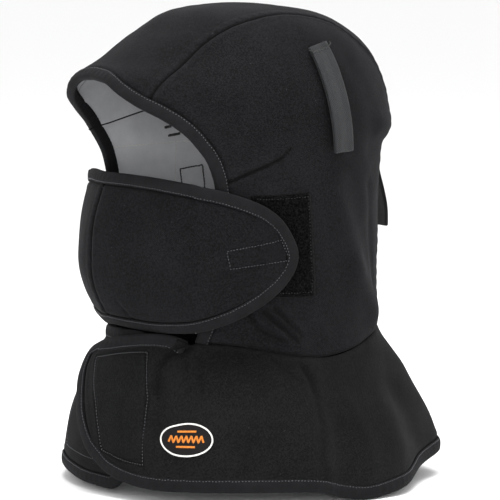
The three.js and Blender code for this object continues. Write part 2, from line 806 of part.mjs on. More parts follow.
// The columns stay upright: top and bottom are cut at the same rows.
const guardTop = evenPlaces(topRow, onGuard, GUARD_STEPS, 0, EDGE_ROOM);
const guardBottom = guardTop.map(([turn]) => {
  let s = 0;
  while (s < 1 && topRow(s)[0] > turn) s += 1e-3;
  return bottomRow(Math.min(s, 1));
});
const guardLine = (a, b) => {
  const line = (s) => [mix(a[0], b[0], s), mix(a[1], b[1], s)];
  return evenPlaces(line, onGuard, GUARD_ROWS, EDGE_ROOM, EDGE_ROOM);
};
const GUARD_BOW = 11;
const guardSeam = guardLine(guardTop[0], guardBottom[0]);
const guardEnd = guardLine(guardTop[GUARD_STEPS], guardBottom[GUARD_STEPS]).map(([turn, share], i) => {
  const s = i / GUARD_ROWS;
  return [turn - GUARD_BOW * s * (1 - s), share];
});
const guardNear = fillGrid(guardTop, guardBottom, guardSeam, guardEnd, onGuard);
const guardFar = guardNear.map((row) => row.map(([turn, share]) => [360 - turn, share]).reverse());
const guardNearCut = drawIn(guardNear, "left", onGuard, HALF_GAP);
const guardFarCut = drawIn(guardFar, "right", onGuard, HALF_GAP);

// Rails around one half of the guard, then the other, in one closed loop.
const guardRail = (i, j, down, over) => {
  return [0, 1, 2].map((k) => guardNear[i + k * down][j + k * over]);
};
const guardCols = guardTop.map((_, j) => j).slice(0, -1);
const guardMiddle = guardSeam.map((_, i) => i).slice(1, -1);
const halfRails = [
  ...guardCols.map((j) => guardRail(0, j, 1, 0)),
  guardRail(0, GUARD_STEPS, 1, -1),
  ...guardMiddle.map((i) => guardRail(i, GUARD_STEPS, 0, -1)),
  guardRail(GUARD_ROWS, GUARD_STEPS, -1, -1),
  ...guardCols.map((j) => guardRail(GUARD_ROWS, j, -1, 0)).reverse(),
];
const turnRail = (rail) => rail.map(([turn, share]) => [360 - turn, share]);
const guardRails = halfRails.concat(halfRails.slice(1, -1).reverse().map(turnRail));

// A loop patch as a grid on the hood.
function loopGrid() {
  const rows = 6;
  const cols = 4;
  const grid = [];
  for (let i = 0; i <= rows; i += 1) {
    const level = mix(LOOP_TOP_LEVEL, LOOP_BOTTOM_LEVEL, i / rows);
    const rear = mix(LOOP_REAR_TOP_TURN, LOOP_REAR_BOTTOM_TURN, i / rows);
    const row = [];
    for (let j = 0; j <= cols; j += 1) row.push(polar(mix(LOOP_FRONT_TURN, rear, j / cols), level));
    grid.push(row);
  }
  return grid;
}

// A hook patch fills the room between the guard and the loop patch, so that
// the guard rests on the cheeks.
const loopFace = 2 * GAP + LOOP_PATCH;
function onHook([degrees, share], height) {
  if (height > 0) return onGuard([degrees, share], -GUARD_CLOTH - 2 * GAP);
  const turn = degrees * DEG;
  const z = guardBase([degrees, share]).z;
  return place(turn, hoodRadiusAt(turn, z) + loopFace + GAP, z);
}
function hookGrid(side) {
  const grid = [];
  for (let i = 0; i <= 2; i += 1) {
    const row = [];
    for (let j = 0; j <= 4; j += 1) {
      const turn = mix(HOOK_FRONT_TURN, HOOK_REAR_TURN, j / 4);
      row.push([side > 0 ? turn : 360 - turn, mix(HOOK_TOP, HOOK_BOTTOM, i / 2)]);
    }
    grid.push(row);
  }
  return grid;
}

// A strap of webbing doubled at its free end, sewn down at its top.
function strap(i, side) {
  const steps = 8;
  const slit = GAP;
  const from = polar(STRAPS.top_turn[i] * side, STRAPS.top_level[i]);
  const to = polar(STRAPS.end_turn[i] * side, STRAPS.end_level[i]);
  const places = evenPlaces((s) => [mix(from[0], to[0], s), mix(from[1], to[1], s)], onHood, steps);
  const length = places.slice(1).reduce((sum, at, k) => {
    return sum + onHood(at, 0).distanceTo(onHood(places[k], 0));
  }, 0);
  const stand = STRAPS.stand_off[i] * WEBBING_WIDTH;
  const lift = (s) => 5 * GAP + stand * ease(s, 0.1, 1.15);
  const across = places.map((here, k) => {
    const before = onHood(places[Math.max(k - 1, 0)], 0);
    const fall = onHood(places[Math.min(k + 1, steps)], 0).sub(before);
    return fall.cross(onHood(here, 1).sub(onHood(here, 0))).normalize();
  });
  const at = (s, height, side) => {
    const k = Math.min(Math.floor(s * steps), steps - 1);
    const half = (side * WEBBING_WIDTH) / 2;
    const low = onHood(places[k], lift(k / steps) + height).addScaledVector(across[k], half);
    const high = onHood(places[k + 1], lift((k + 1) / steps) + height).addScaledVector(across[k + 1], half);
    return low.lerp(high, s * steps - k);
  };
  const full = 2 * WEBBING + slit;
  const spots = [];
  for (let k = 0; k <= steps; k += 1) spots.push([k / steps, full]);
  spots.push([1 + 0.9 * WEBBING / length, full * 0.75], [1 + 0.9 * WEBBING / length, full * 0.25]);
  for (let k = steps; k >= 0; k -= 1) spots.push([k / steps, 0]);
  for (let k = 0; k < steps; k += 1) spots.push([k / steps, WEBBING]);
  spots.push([1 - WEBBING / length, WEBBING], [1 - WEBBING / length, WEBBING + slit]);
  for (let k = steps - 1; k >= 0; k -= 1) spots.push([k / steps, WEBBING + slit]);
  const outline = spots.map(([s, height]) => new THREE.Vector2(s * length, height));
  const rings = [-1, 1].map((side) => spots.map(([s, height]) => at(s, height, side)));
  return sweep(rings, outline, false);
}

// Badge places: an oval measured along the cape around its middle.
function badgePlace(angle, length, height) {
  const middle = [BADGE_TURN, BADGE_SHARE];
  const wide = onCape([BADGE_TURN + 1, BADGE_SHARE], 0).distanceTo(onCape(middle, 0));
  const tall = onCape([BADGE_TURN, BADGE_SHARE + 0.01], 0).distanceTo(onCape(middle, 0)) / 0.01;
  return [
    BADGE_TURN + (Math.cos(angle) * length) / 2 / wide,
    BADGE_SHARE + (Math.sin(angle) * height) / 2 / tall,
  ];
}
function badgeGrid(shares, inset) {
  const steps = 28;
  const length = BADGE_LENGTH - 2 * inset;
  const height = BADGE_HEIGHT - 2 * inset;
  return shares.map((share) => {
    const row = [];
    for (let k = 0; k <= steps; k += 1) {
      const angle = (2 * Math.PI * (k % steps)) / steps;
      row.push(badgePlace(angle, length * share, height * share));
    }
    return row;
  });
}
// The field is cut in columns so that it needs no pole in its middle.
function badgeField() {
  const cols = 10;
  const length = BADGE_LENGTH - 2 * (BADGE_BORDER + GAP);
  const height = BADGE_HEIGHT - 2 * (BADGE_BORDER + GAP);
  const grid = [];
  for (let j = 0; j <= cols; j += 1) {
    const angle = mix(0.12, Math.PI - 0.12, j / cols);
    const up = badgePlace(angle, length, height);
    const down = badgePlace(-angle, length, height);
    grid.push([0, 0.5, 1].map((s) => [mix(up[0], down[0], s), mix(up[1], down[1], s)]));
  }
  return grid;
}
const borderInner = badgeGrid([1], BADGE_BORDER)[0];
const borderOuter = badgeGrid([1], 0)[0];

const part = new THREE.Group();
part.name = "hard_hat_liner";
function add(name, geometry, look) {
  const mesh = new THREE.Mesh(geometry, new THREE.MeshStandardMaterial(look));
  mesh.name = name;
  part.add(mesh);
}

const shell = (grid) => thickSheet([grid], onHood, 0, -SHELL);
add("crown_panel", shell(crownCut), CLOTH);
add("side_panel_left", shell(sideCut), CLOTH);
add("side_panel_right", shell(flip(sideCut)), CLOTH);

const liningGrids = [crownGrid, sideGrid, farSideGrid];
add("hood_lining", thickSheet(liningGrids, onHood, -SHELL - GAP, -WALL), SILVER);
add("face_binding", binding(faceRails, faceRails.map(() => false), onHood, WALL, false), BINDING);

add("cape", thickSheet([capeGrid], onCape, 0, -SHELL), CLOTH);
add("cape_binding", binding(capeRails, slantsOf(capeRails), onCape, SHELL, false), BINDING);

add("guard_panel_left", thickSheet([guardNearCut], onGuard, 0, -GUARD_CLOTH), CLOTH);
add("guard_panel_right", thickSheet([guardFarCut], onGuard, 0, -GUARD_CLOTH), CLOTH);
add("guard_binding", binding(guardRails, slantsOf(guardRails), onGuard, GUARD_CLOTH, true), BINDING);

add("loop_patch_left", thickSheet([loopGrid()], onHood, loopFace, 2 * GAP), FUZZ);
add("loop_patch_right", thickSheet([flip(loopGrid())], onHood, loopFace, 2 * GAP), FUZZ);
add("hook_patch_left", thickSheet([hookGrid(1)], onHook, 1, 0), HOOK);
add("hook_patch_right", thickSheet([hookGrid(-1)], onHook, 1, 0), HOOK);

add("side_strap_left", strap(0, 1), WEB);
add("side_strap_right", strap(0, -1), WEB);
add("rear_strap", strap(1, 1), WEB_BLACK);

add("badge_field", thickSheet([badgeField()], onCape, GAP + BADGE_CLOTH, GAP), BADGE_BLACK);
add("badge_border", thickSheet([[borderInner, borderOuter]], onCape, GAP + 1.4 * BADGE_CLOTH, GAP), BADGE_WHITE);

export default part;
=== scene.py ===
"""A hard hat liner: brushed cotton hood, grey lining, taped edges, cape, cheek guard and webbing straps."""
import math
import bpy
import numpy as np
from mathutils import Matrix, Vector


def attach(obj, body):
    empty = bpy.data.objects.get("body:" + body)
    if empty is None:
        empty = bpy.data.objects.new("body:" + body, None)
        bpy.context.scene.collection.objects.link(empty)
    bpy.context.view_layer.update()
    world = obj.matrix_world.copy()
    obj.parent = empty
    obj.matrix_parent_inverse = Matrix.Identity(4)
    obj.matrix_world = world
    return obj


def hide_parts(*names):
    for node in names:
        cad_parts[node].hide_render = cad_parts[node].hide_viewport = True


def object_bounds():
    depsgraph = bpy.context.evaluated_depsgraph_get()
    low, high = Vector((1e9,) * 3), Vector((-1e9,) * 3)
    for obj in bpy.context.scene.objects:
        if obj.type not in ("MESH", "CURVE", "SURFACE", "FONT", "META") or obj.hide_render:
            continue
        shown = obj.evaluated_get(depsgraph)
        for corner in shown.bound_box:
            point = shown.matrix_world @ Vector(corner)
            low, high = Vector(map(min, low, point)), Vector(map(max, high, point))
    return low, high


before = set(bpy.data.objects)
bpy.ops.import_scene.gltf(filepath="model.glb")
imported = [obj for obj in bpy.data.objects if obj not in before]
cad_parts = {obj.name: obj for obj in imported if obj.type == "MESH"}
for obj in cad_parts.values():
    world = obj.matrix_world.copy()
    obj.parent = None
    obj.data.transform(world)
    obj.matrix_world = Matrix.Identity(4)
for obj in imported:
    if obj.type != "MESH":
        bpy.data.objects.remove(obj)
cad_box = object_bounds()

# Camera, floor and studio light. The camera stands three metres off, ahead of
# the wearer's left shoulder and a little above. The floor is plain pale board
# and the light is a white room with three soft boxes.
MM = 0.001
VIEW_TURN = math.radians(60)
VIEW_RISE = math.radians(6)
VIEW_DISTANCE = 3.0
VIEW_RIGHT_MM = 3.75
VIEW_UP_MM = -181.9
LENS_MM = 288

right = np.array([math.cos(VIEW_TURN), math.sin(VIEW_TURN), 0])
back = np.array([
    math.sin(VIEW_TURN) * math.cos(VIEW_RISE),
    -math.cos(VIEW_TURN) * math.cos(VIEW_RISE),
    math.sin(VIEW_RISE),
])
up = np.cross(back, right)
aim = (right * VIEW_RIGHT_MM + up * VIEW_UP_MM) * MM


def stand(thing, place, toward):
    """Puts a camera or light at a place, looking at a point with its top upwards."""
    away = np.array(place, float) - np.array(toward, float)
    away /= np.linalg.norm(away)
    side = np.cross((0, 0, 1), away)
    side /= np.linalg.norm(side)
    top = np.cross(away, side)
    turned = Matrix([side, top, away]).transposed().to_4x4()
    turned.translation = place
    thing.matrix_world = turned
    bpy.context.scene.collection.objects.link(thing)


lens = bpy.data.cameras.new("studio_camera")
lens.lens = LENS_MM
lens.clip_end = 50
camera = bpy.data.objects.new("studio_camera", lens)
stand(camera, aim + back * VIEW_DISTANCE, aim)
bpy.context.scene.camera = camera
bpy.context.scene.view_settings.view_transform = "Standard"


def linear(code):
    """Linear colour of an sRGB hex value, as four numbers."""
    shades = [int(code[i:i + 2], 16) / 255 for i in (1, 3, 5)]
    return [s / 12.92 if s <= 0.04045 else ((s + 0.055) / 1.055) ** 2.4 for s in shades] + [1]


def finish_of(name, **sockets):
    """A new material with its shader, whose plain sockets are set directly."""
    made = bpy.data.materials.new(name)
    made.use_nodes = True
    shader = made.node_tree.nodes["Principled BSDF"]
    for socket, value in sockets.items():
        shader.inputs[socket.replace("_", " ")].default_value = value
    return made, made.node_tree, shader


FLOOR_HALF_M, FLOOR_GAP_M = 8, 0.0006
floor_z = cad_box[0][2] - FLOOR_GAP_M
corners = [(x * FLOOR_HALF_M, y * FLOOR_HALF_M, floor_z) for x, y in [(-1, -1), (1, -1), (1, 1), (-1, 1)]]
floor_mesh = bpy.data.meshes.new("floor")
floor_mesh.from_pydata(corners, [], [(0, 1, 2, 3)])
floor = bpy.data.objects.new("floor", floor_mesh)
bpy.context.scene.collection.objects.link(floor)
# Matt white board: almost no gloss, so nothing mirrors in it.
board = finish_of("matt_white_board", Base_Color=linear("#fafafa"), Roughness=0.9)[0]
floor_mesh.materials.append(board)

room = bpy.data.worlds.new("white_room")
room.use_nodes = True
daylight = room.node_tree.nodes["Background"].inputs
daylight["Color"].default_value = (1, 1, 1, 1)
daylight["Strength"].default_value = 1.0
bpy.context.scene.world = room

LIT_POINT = (0, 0, -0.18)
# Name, place and size in metres, and watts.
SOFT_BOXES = [
    ("key_light", (1.5, -1.15, -0.02), 0.8, 18),
    ("top_light", (0.2, 0, 1.7), 1.2, 48),
    ("rear_light", (1.7, 1.3, 0.5), 0.9, 1),
]
for light_name, light_place, light_size, light_watts in SOFT_BOXES:
    box_data = bpy.data.lights.new(light_name, "AREA")
    box_data.size = light_size
    box_data.energy = light_watts
    stand(bpy.data.objects.new(light_name, box_data), light_place, LIT_POINT)

# Crown panel: the strip of outer cloth from the brow over the crown to the
# nape. It is brushed cotton twill, cut to the head's curve and sewn to the two
# sides, so the surface of the whole hood is worked out here.
HOOD_HEIGHT, HOOD_DEPTH, HOOD_WIDTH, HOOD_CENTRE = 260, 250, 179, -10
SHELL, LINING, GAP = 1.8, 1.5, 0.3
WALL = SHELL + GAP + LINING
# The higher this power, the nearer the keel keeps to the middle line.
KEEL_POWER = 8


def table(names, rows):
    """Rows of numbers as named columns."""
    return dict(zip(names.split(), np.array(rows, float).T))


# Rings from the crown down. Drops and skew are shares of the height, reaches
# and keel of the depth, half of the width. Square is how boxy the front is.
HOOD = table("level front_drop side_drop back_drop front back half keel square skew", [
    [0, 0, 0, 0, 0, 0, 0, 0, 2, 0],
    [1, 0.02, 0.014, 0.012, 0.196, 0.17, 0.23, 0, 2, 0],
    [2, 0.08, 0.06, 0.048, 0.304, 0.31, 0.36, 0, 2, 0],
    [3, 0.148, 0.145, 0.12, 0.396, 0.416, 0.438, 0.014, 2.1, 0],
    [4, 0.208, 0.245, 0.218, 0.468, 0.48, 0.485, 0.028, 2.4, 0],
    [5, 0.32, 0.36, 0.345, 0.49, 0.505, 0.5, 0.02, 2.9, 0],
    [6, 0.445, 0.475, 0.425, 0.492, 0.472, 0.5, 0, 3, 0],
    [7, 0.59, 0.63, 0.59, 0.475, 0.462, 0.494, 0, 2.9, 0],
    [8, 0.783, 0.8, 0.764, 0.44, 0.458, 0.48, 0, 2.4, 0.02],
    [9, 0.958, 0.983, 0.929, 0.404, 0.464, 0.46, 0, 2.1, 0.083],
])
NECK_LEVEL = 9
# Soft folds between two places of the hood, width and height in millimetres.
HOOD_FOLDS = table("turn_a level_a turn_b level_b width height", [
    [0, 5.1, 34, 4.95, 8.8, 3],
    [0, 5.6, 40, 5.55, 10, -2],
    [67, 6.3, 50, 7.8, 12.5, 3],
    [50, 7.8, 27, 8.7, 12.5, 3.5],
    [106, 8.55, 84, 8.85, 7.5, 2.5],
    [104, 8.4, 88, 8.8, 2.2, -0.9],
    [122, 6.7, 116, 7.9, 7, 1],
    [96, 4.2, 88, 5.2, 9, 0.8],
    [40, 6.5, 30, 8.2, 5, -1],
    [58, 3.4, 48, 4.6, 8, 0.9],
])


def smooth(key, column, at, flat_start=False):
    """Cubic curve through a column, with the slope at each row taken from the rows beside it."""
    key = np.asarray(key, float)
    column = np.asarray(column, float)
    last = len(key) - 1
    low = np.maximum(np.arange(last + 1) - 1, 0)
    high = np.minimum(np.arange(last + 1) + 1, last)
    slope = (column[high] - column[low]) / (key[high] - key[low])
    if flat_start:
        slope[0] = 0
    i = np.clip(np.searchsorted(key, at) - 1, 0, last - 1)
    h = key[i + 1] - key[i]
    s = (at - key[i]) / h
    start = (2 * s**3 - 3 * s**2 + 1) * column[i] + (s**3 - 2 * s**2 + s) * slope[i] * h
    return start + (3 * s**2 - 2 * s**3) * column[i + 1] + (s**3 - s**2) * slope[i + 1] * h


def ease(value, low, high):
    """Rises from 0 at low to 1 at high with level ends."""
    s = np.clip((value - low) / (high - low), 0, 1)
    return s * s * (3 - 2 * s)


def bell(distance, width):
    """Falls from 1 at no distance to about a third at the width."""
    return np.exp(-(distance / width) ** 2)


def ripple(run, pitch, shift=0.0):
    """Sine wave along a run, one cycle each pitch."""
    return np.sin(run * 2 * math.pi / pitch + shift)


def unit(vectors):
    """The same directions, one long."""
    return vectors / np.maximum(np.linalg.norm(vectors, axis=-1, keepdims=True), 1e-9)


def around(turn, radius, z):
    """Point at a turn from the back, a distance from the hood's axis and a height."""
    return np.stack([radius * np.sin(turn), HOOD_CENTRE + radius * np.cos(turn), z + 0 * turn], -1)


def ring_radius(turn, front, rear, half, square, keel, keel_power):
    """Radius of an ellipse behind and a boxier curve in front, with a keel on the middle line."""
    c = np.cos(turn)
    s = np.abs(np.sin(turn))
    reach = np.maximum(np.where(c < 0, front, rear), 1e-6)
    e = np.where(c < 0, square, 2)
    oval = ((s / np.maximum(half, 1e-6)) ** e + (np.abs(c) / reach) ** e) ** (-1 / e)
    return oval + keel * np.maximum(-c, 0) ** keel_power


def hood_height(turn, level):
    """Height of a ring at a turn: side drop, swung to the front and back drops by the cosine."""
    front = smooth(HOOD["level"], HOOD["front_drop"], level, True)
    side = smooth(HOOD["level"], HOOD["side_drop"], level, True)
    rear = smooth(HOOD["level"], HOOD["back_drop"], level, True)
    skew = smooth(HOOD["level"], HOOD["skew"], level)
    c = np.cos(turn)
    swing = (rear - front) / 2 * c + ((front + rear) / 2 - side) * c * c
    return WALL - (side + swing + skew * (c - c**3)) * HOOD_HEIGHT


def hood_radius(turn, level):
    """Radius of a ring at a turn, from the table's reaches."""
    column = {name: smooth(HOOD["level"], HOOD[name], level) for name in HOOD}
    return ring_radius(
        turn, column["front"] * HOOD_DEPTH, column["back"] * HOOD_DEPTH, column["half"] * HOOD_WIDTH,
        column["square"], column["keel"] * HOOD_DEPTH, KEEL_POWER,
    )


def beside(points, a, b):
    """Distance of points from the straight line between two points."""
    along = b - a
    s = np.clip((points - a) @ along / (along @ along), 0, 1)
    return np.linalg.norm(points - a - s[..., None] * along, axis=-1)


def hood_bare(across, along):
    """Cloth of the hood where across and along point from the crown and their length is the ring level."""
    level = np.maximum(np.hypot(across, along), 1e-6)
    turn = np.arctan2(across, along)
    radius = hood_radius(turn, level)
    z = hood_height(turn, level)
    mirrored = around(turn, radius, z)
    mirrored[..., 0] = np.abs(mirrored[..., 0])
    lift = 0
    for turn_a, level_a, turn_b, level_b, width, height in zip(*HOOD_FOLDS.values()):
        ends = np.radians([turn_a, turn_b]), np.array([level_a, level_b])
        a, b = around(ends[0], hood_radius(*ends), hood_height(*ends))
        lift = lift + height * bell(beside(mirrored, a, b), width)
    return around(turn, radius + lift, z)


def unevenness(points, wave, height, seed):
    """Slackness of worn cloth: ten sine waves in seeded directions, about one wave length long."""
    draw = np.random.default_rng(seed)
    ways = unit(draw.normal(size=(10, 3))) * (2 * math.pi / wave) * draw.uniform(0.6, 1.5, (10, 1))
    phases = draw.uniform(0, 2 * math.pi, 10)
    return height * np.sin(points @ ways.T + phases).sum(-1) / math.sqrt(10)


# Wave length and height of the slack in all the cloth: long swells and short ones.
SWELLS = [(46, 0.42), (17, 0.1)]


def laid_on(bare, step_a, step_b, seed, low=-np.inf, high=np.inf):
    """Turns a bare surface into one that gives the point at a place and a height along its outward side.
    Past low and high, where the cloth ends, it runs straight on."""
    def on(a, b, height=0.0):
        a, b = np.broadcast_arrays(np.asarray(a, float), np.asarray(b, float))
        held = np.clip(b, low, high)
        over = bare(a + step_a, held) - bare(a - step_a, held)
        down = bare(a, held + step_b) - bare(a, held - step_b)
        point = bare(a, held) + down * ((b - held) / (2 * step_b))[..., None]
        slack = sum(unevenness(point, *swell, seed + k) for k, swell in enumerate(SWELLS))
        return point + unit(np.cross(over, down)) * (slack + height)[..., None]
    return on


on_hood = laid_on(hood_bare, 1e-3, 1e-3, 11)


def polar(turn, level):
    """Across and along of a turn in degrees and a ring level."""
    return np.stack([level * np.sin(np.radians(turn)), level * np.cos(np.radians(turn))], -1)


def through(places):
    """Smooth curve through places, from 0 at the first to 1 at the last."""
    run = np.concatenate([[0], np.cumsum(np.hypot(*np.diff(places, axis=0).T))])
    return lambda s: np.stack([smooth(run, places[:, k], s * run[-1]) for k in (0, 1)], -1)


def crowded(count, crowd):
    """Shares from 0 to 1, even or drawn towards both ends."""
    share = np.linspace(0, 1, count)
    return share - crowd * np.sin(2 * math.pi * share) / (2 * math.pi)


def evenly(curve, on, steps, crowd=0.0):
    """Places at equal steps of cloth along a curve of places, or crowded towards both of its ends."""
    fine = np.linspace(0, 1, 1200)
    run = spans(on(*curve(fine).T), 0)
    return curve(np.interp(crowded(steps + 1, crowd) * run[-1], run, fine))


def spans(points, axis):
    """Running length of cloth along one axis of a grid of points."""
    step = np.linalg.norm(np.diff(points, axis=axis), axis=-1)
    first = np.zeros_like(np.take(step, [0], axis=axis))
    return np.concatenate([first, np.cumsum(step, axis=axis)], axis=axis)


def filled(start, finish, left, right, on):
    """Places inside four edges: both straight mixes of facing edges, less the mix of the corners."""
    down = spans(on(*left.T), 0)
    over = spans(on(*start.T), 0)
    v = (down / down[-1])[:, None, None]
    u = (over / over[-1])[None, :, None]
    ruled = start[None] * (1 - v) + finish[None] * v + left[:, None] * (1 - u) + right[:, None] * u
    corners = (start[0] * (1 - u) + start[-1] * u) * (1 - v) + (finish[0] * (1 - u) + finish[-1] * u) * v
    return ruled - corners


FACE_EDGE = table("turn level", [
    [180, 3.83], [170, 3.97], [162, 4.27], [154, 4.53], [145.5, 4.76], [137.5, 5.08], [132.5, 5.42],
    [129, 5.73], [127, 6.04], [125.8, 6.4], [125.8, 7.1], [128, 7.8], [132, 8.5], [137, 9],
])
CROWN_SEAM = np.array([
    [1.92, -2.64], [1.7, -1.83], [1.54, -0.92], [1.36, 0], [1.27, 1.09],
    [1.29, 1.7], [1.4, 2.6], [1.5, 4], [2.05, 6.2], [2.8, 8.55],
])
SEAM_CORNER = 7
BROW_TURN, THROAT_TURN = 151, 137
face_curve = through(polar(FACE_EDGE["turn"], FACE_EDGE["level"]))
fine_share = np.linspace(0, 1, 4000)
fine_face = face_curve(fine_share)
brow_share = fine_share[np.argmax(np.arctan2(*fine_face.T) <= math.radians(BROW_TURN))]
brow = face_curve(np.array([brow_share]))[0]
nape_turn = math.degrees(math.atan2(*CROWN_SEAM[-1]))
seam_end = polar(nape_turn, NECK_LEVEL)
seam_over = evenly(through(np.vstack([brow, CROWN_SEAM[:SEAM_CORNER + 1]])), on_hood, 180)
seam_down = evenly(through(np.vstack([CROWN_SEAM[SEAM_CORNER:-1], seam_end])), on_hood, 120)
seam_line = np.vstack([seam_over, seam_down[1:]])
MIRROR = np.array([-1, 1])


def brow_curve(s):
    """The face edge over the brow, from the far crown seam to the near one."""
    return face_curve(np.abs(2 * s - 1) * brow_share) * np.stack([np.sign(s - 0.5), 1 + 0 * s], -1)


CROWN_COLS, CROWD = 70, 0.5
brow_edge = evenly(brow_curve, on_hood, CROWN_COLS, CROWD)
brow_edge[[0, -1]] = brow * MIRROR, brow
nape_edge = evenly(lambda s: polar(nape_turn * (2 * s - 1), NECK_LEVEL), on_hood, CROWN_COLS, CROWD)
crown_places = filled(brow_edge, nape_edge, seam_line * MIRROR, seam_line, on_hood)


def quads_of(index):
    """The four corners of every cell of a grid of vertex numbers."""
    cells = [index[:-1, :-1], index[1:, :-1], index[1:, 1:], index[:-1, 1:]]
    return np.stack(cells, -1).reshape(-1, 4)


def new_piece(name, body, material, nodes=()):
    """One closed mesh of a body in millimetres, turned to face out and riding with the root body, which
    may stand for nodes of the model."""
    points, quads, uv, tone_and_shade = body
    p = points[quads]
    volume = (p[:, 0] * np.cross(p[:, 1], p[:, 2]) + p[:, 0] * np.cross(p[:, 2], p[:, 3])).sum()
    if volume < 0:
        quads = quads[:, ::-1]
    mesh = bpy.data.meshes.new(name)
    mesh.vertices.add(len(points))
    mesh.vertices.foreach_set("co", (points * MM).ravel())
    mesh.loops.add(quads.size)
    mesh.loops.foreach_set("vertex_index", quads.ravel().astype(np.int32))
    mesh.polygons.add(len(quads))
    mesh.polygons.foreach_set("loop_start", np.arange(0, quads.size, 4, dtype=np.int32))
    mesh.polygons.foreach_set("use_smooth", np.full(len(quads), True))
    mesh.update(calc_edges=True)
    mesh.uv_layers.new(name="cloth_metres").data.foreach_set("uv", (uv[quads.ravel()] * MM).ravel())
    # This attribute carries the cloth's wear and selvage tone, and painted shade in grooves, creases and
    # along tape edges.
    mesh.attributes.new("tone_and_shade", "FLOAT", "POINT").data.foreach_set("value", tone_and_shade.astype(np.float32))
    mesh.materials.append(material)
    made = bpy.data.objects.new(name, mesh)
    bpy.context.scene.collection.objects.link(made)
    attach(made, "root")
    if nodes:
        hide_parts(*nodes)
    return made


def cloth_body(places, on, top, bottom, tone_and_shade):
    """Points, quads, lengths, and wear and painted shade of cloth between two heights over a grid of places.
    """
    rows, cols = places.shape[:2]
    upper = on(places[..., 0], places[..., 1], top)
    under = on(places[..., 0], places[..., 1], bottom)
    index = np.arange(rows * cols).reshape(rows, cols)
    lower = index + rows * cols
    round_it = np.concatenate([index[0], index[1:, -1], index[-1, -2::-1], index[-2:0:-1, 0], index[:1, 0]])
    rim = quads_of(np.stack([round_it, round_it + rows * cols]))
    quads = np.concatenate([quads_of(index), quads_of(lower)[:, ::-1], rim[:, ::-1]])
    middle = spans(upper, 1)[:, cols // 2][:, None]
    uv = np.stack([spans(upper, 1) - middle, spans(upper, 0)], -1).reshape(-1, 2)
    points = np.concatenate([upper.reshape(-1, 3), under.reshape(-1, 3)])
    return points, quads, np.concatenate([uv, uv]), np.tile(tone_and_shade.ravel(), 2)


def joined(bodies):
    """Several bodies as one, their vertex numbers following on."""
    points, quads, uv, tone_and_shade = zip(*bodies)
    starts = np.cumsum([0] + [len(p) for p in points[:-1]])
    numbers = [q + start for q, start in zip(quads, starts)]
    return [np.concatenate(rows) for rows in (points, numbers, uv, tone_and_shade)]


def seam_dip(distance, run):
    """Height beside a seam: pulled in at the stitches, then a low puffed and puckered ridge."""
    pucker = 1 + 0.45 * ripple(run, 8.5, 1.3 * np.sin(run / 23))
    return 0.42 * pucker * bell(distance - 4.2, 2.6) - 1.25 * bell(distance, 1.35)


def node(tree, kind, sockets=None, **settings):
    """Adds one node, sets its options, and fills or links each socket that is named."""
    made = tree.nodes.new(kind)
    for name, value in settings.items():
        setattr(made, name, value)
    for name, value in (sockets or {}).items():
        if isinstance(value, bpy.types.NodeSocket):
            tree.links.new(value, made.inputs[name])
        else:
            made.inputs[name].default_value = value
    return made


# Pitch of the wales, drawn about twice as coarse as the real 0.6 mm so that they
# show, and their slant in degrees.
WALE, WALE_SLANT = 1.2, 58


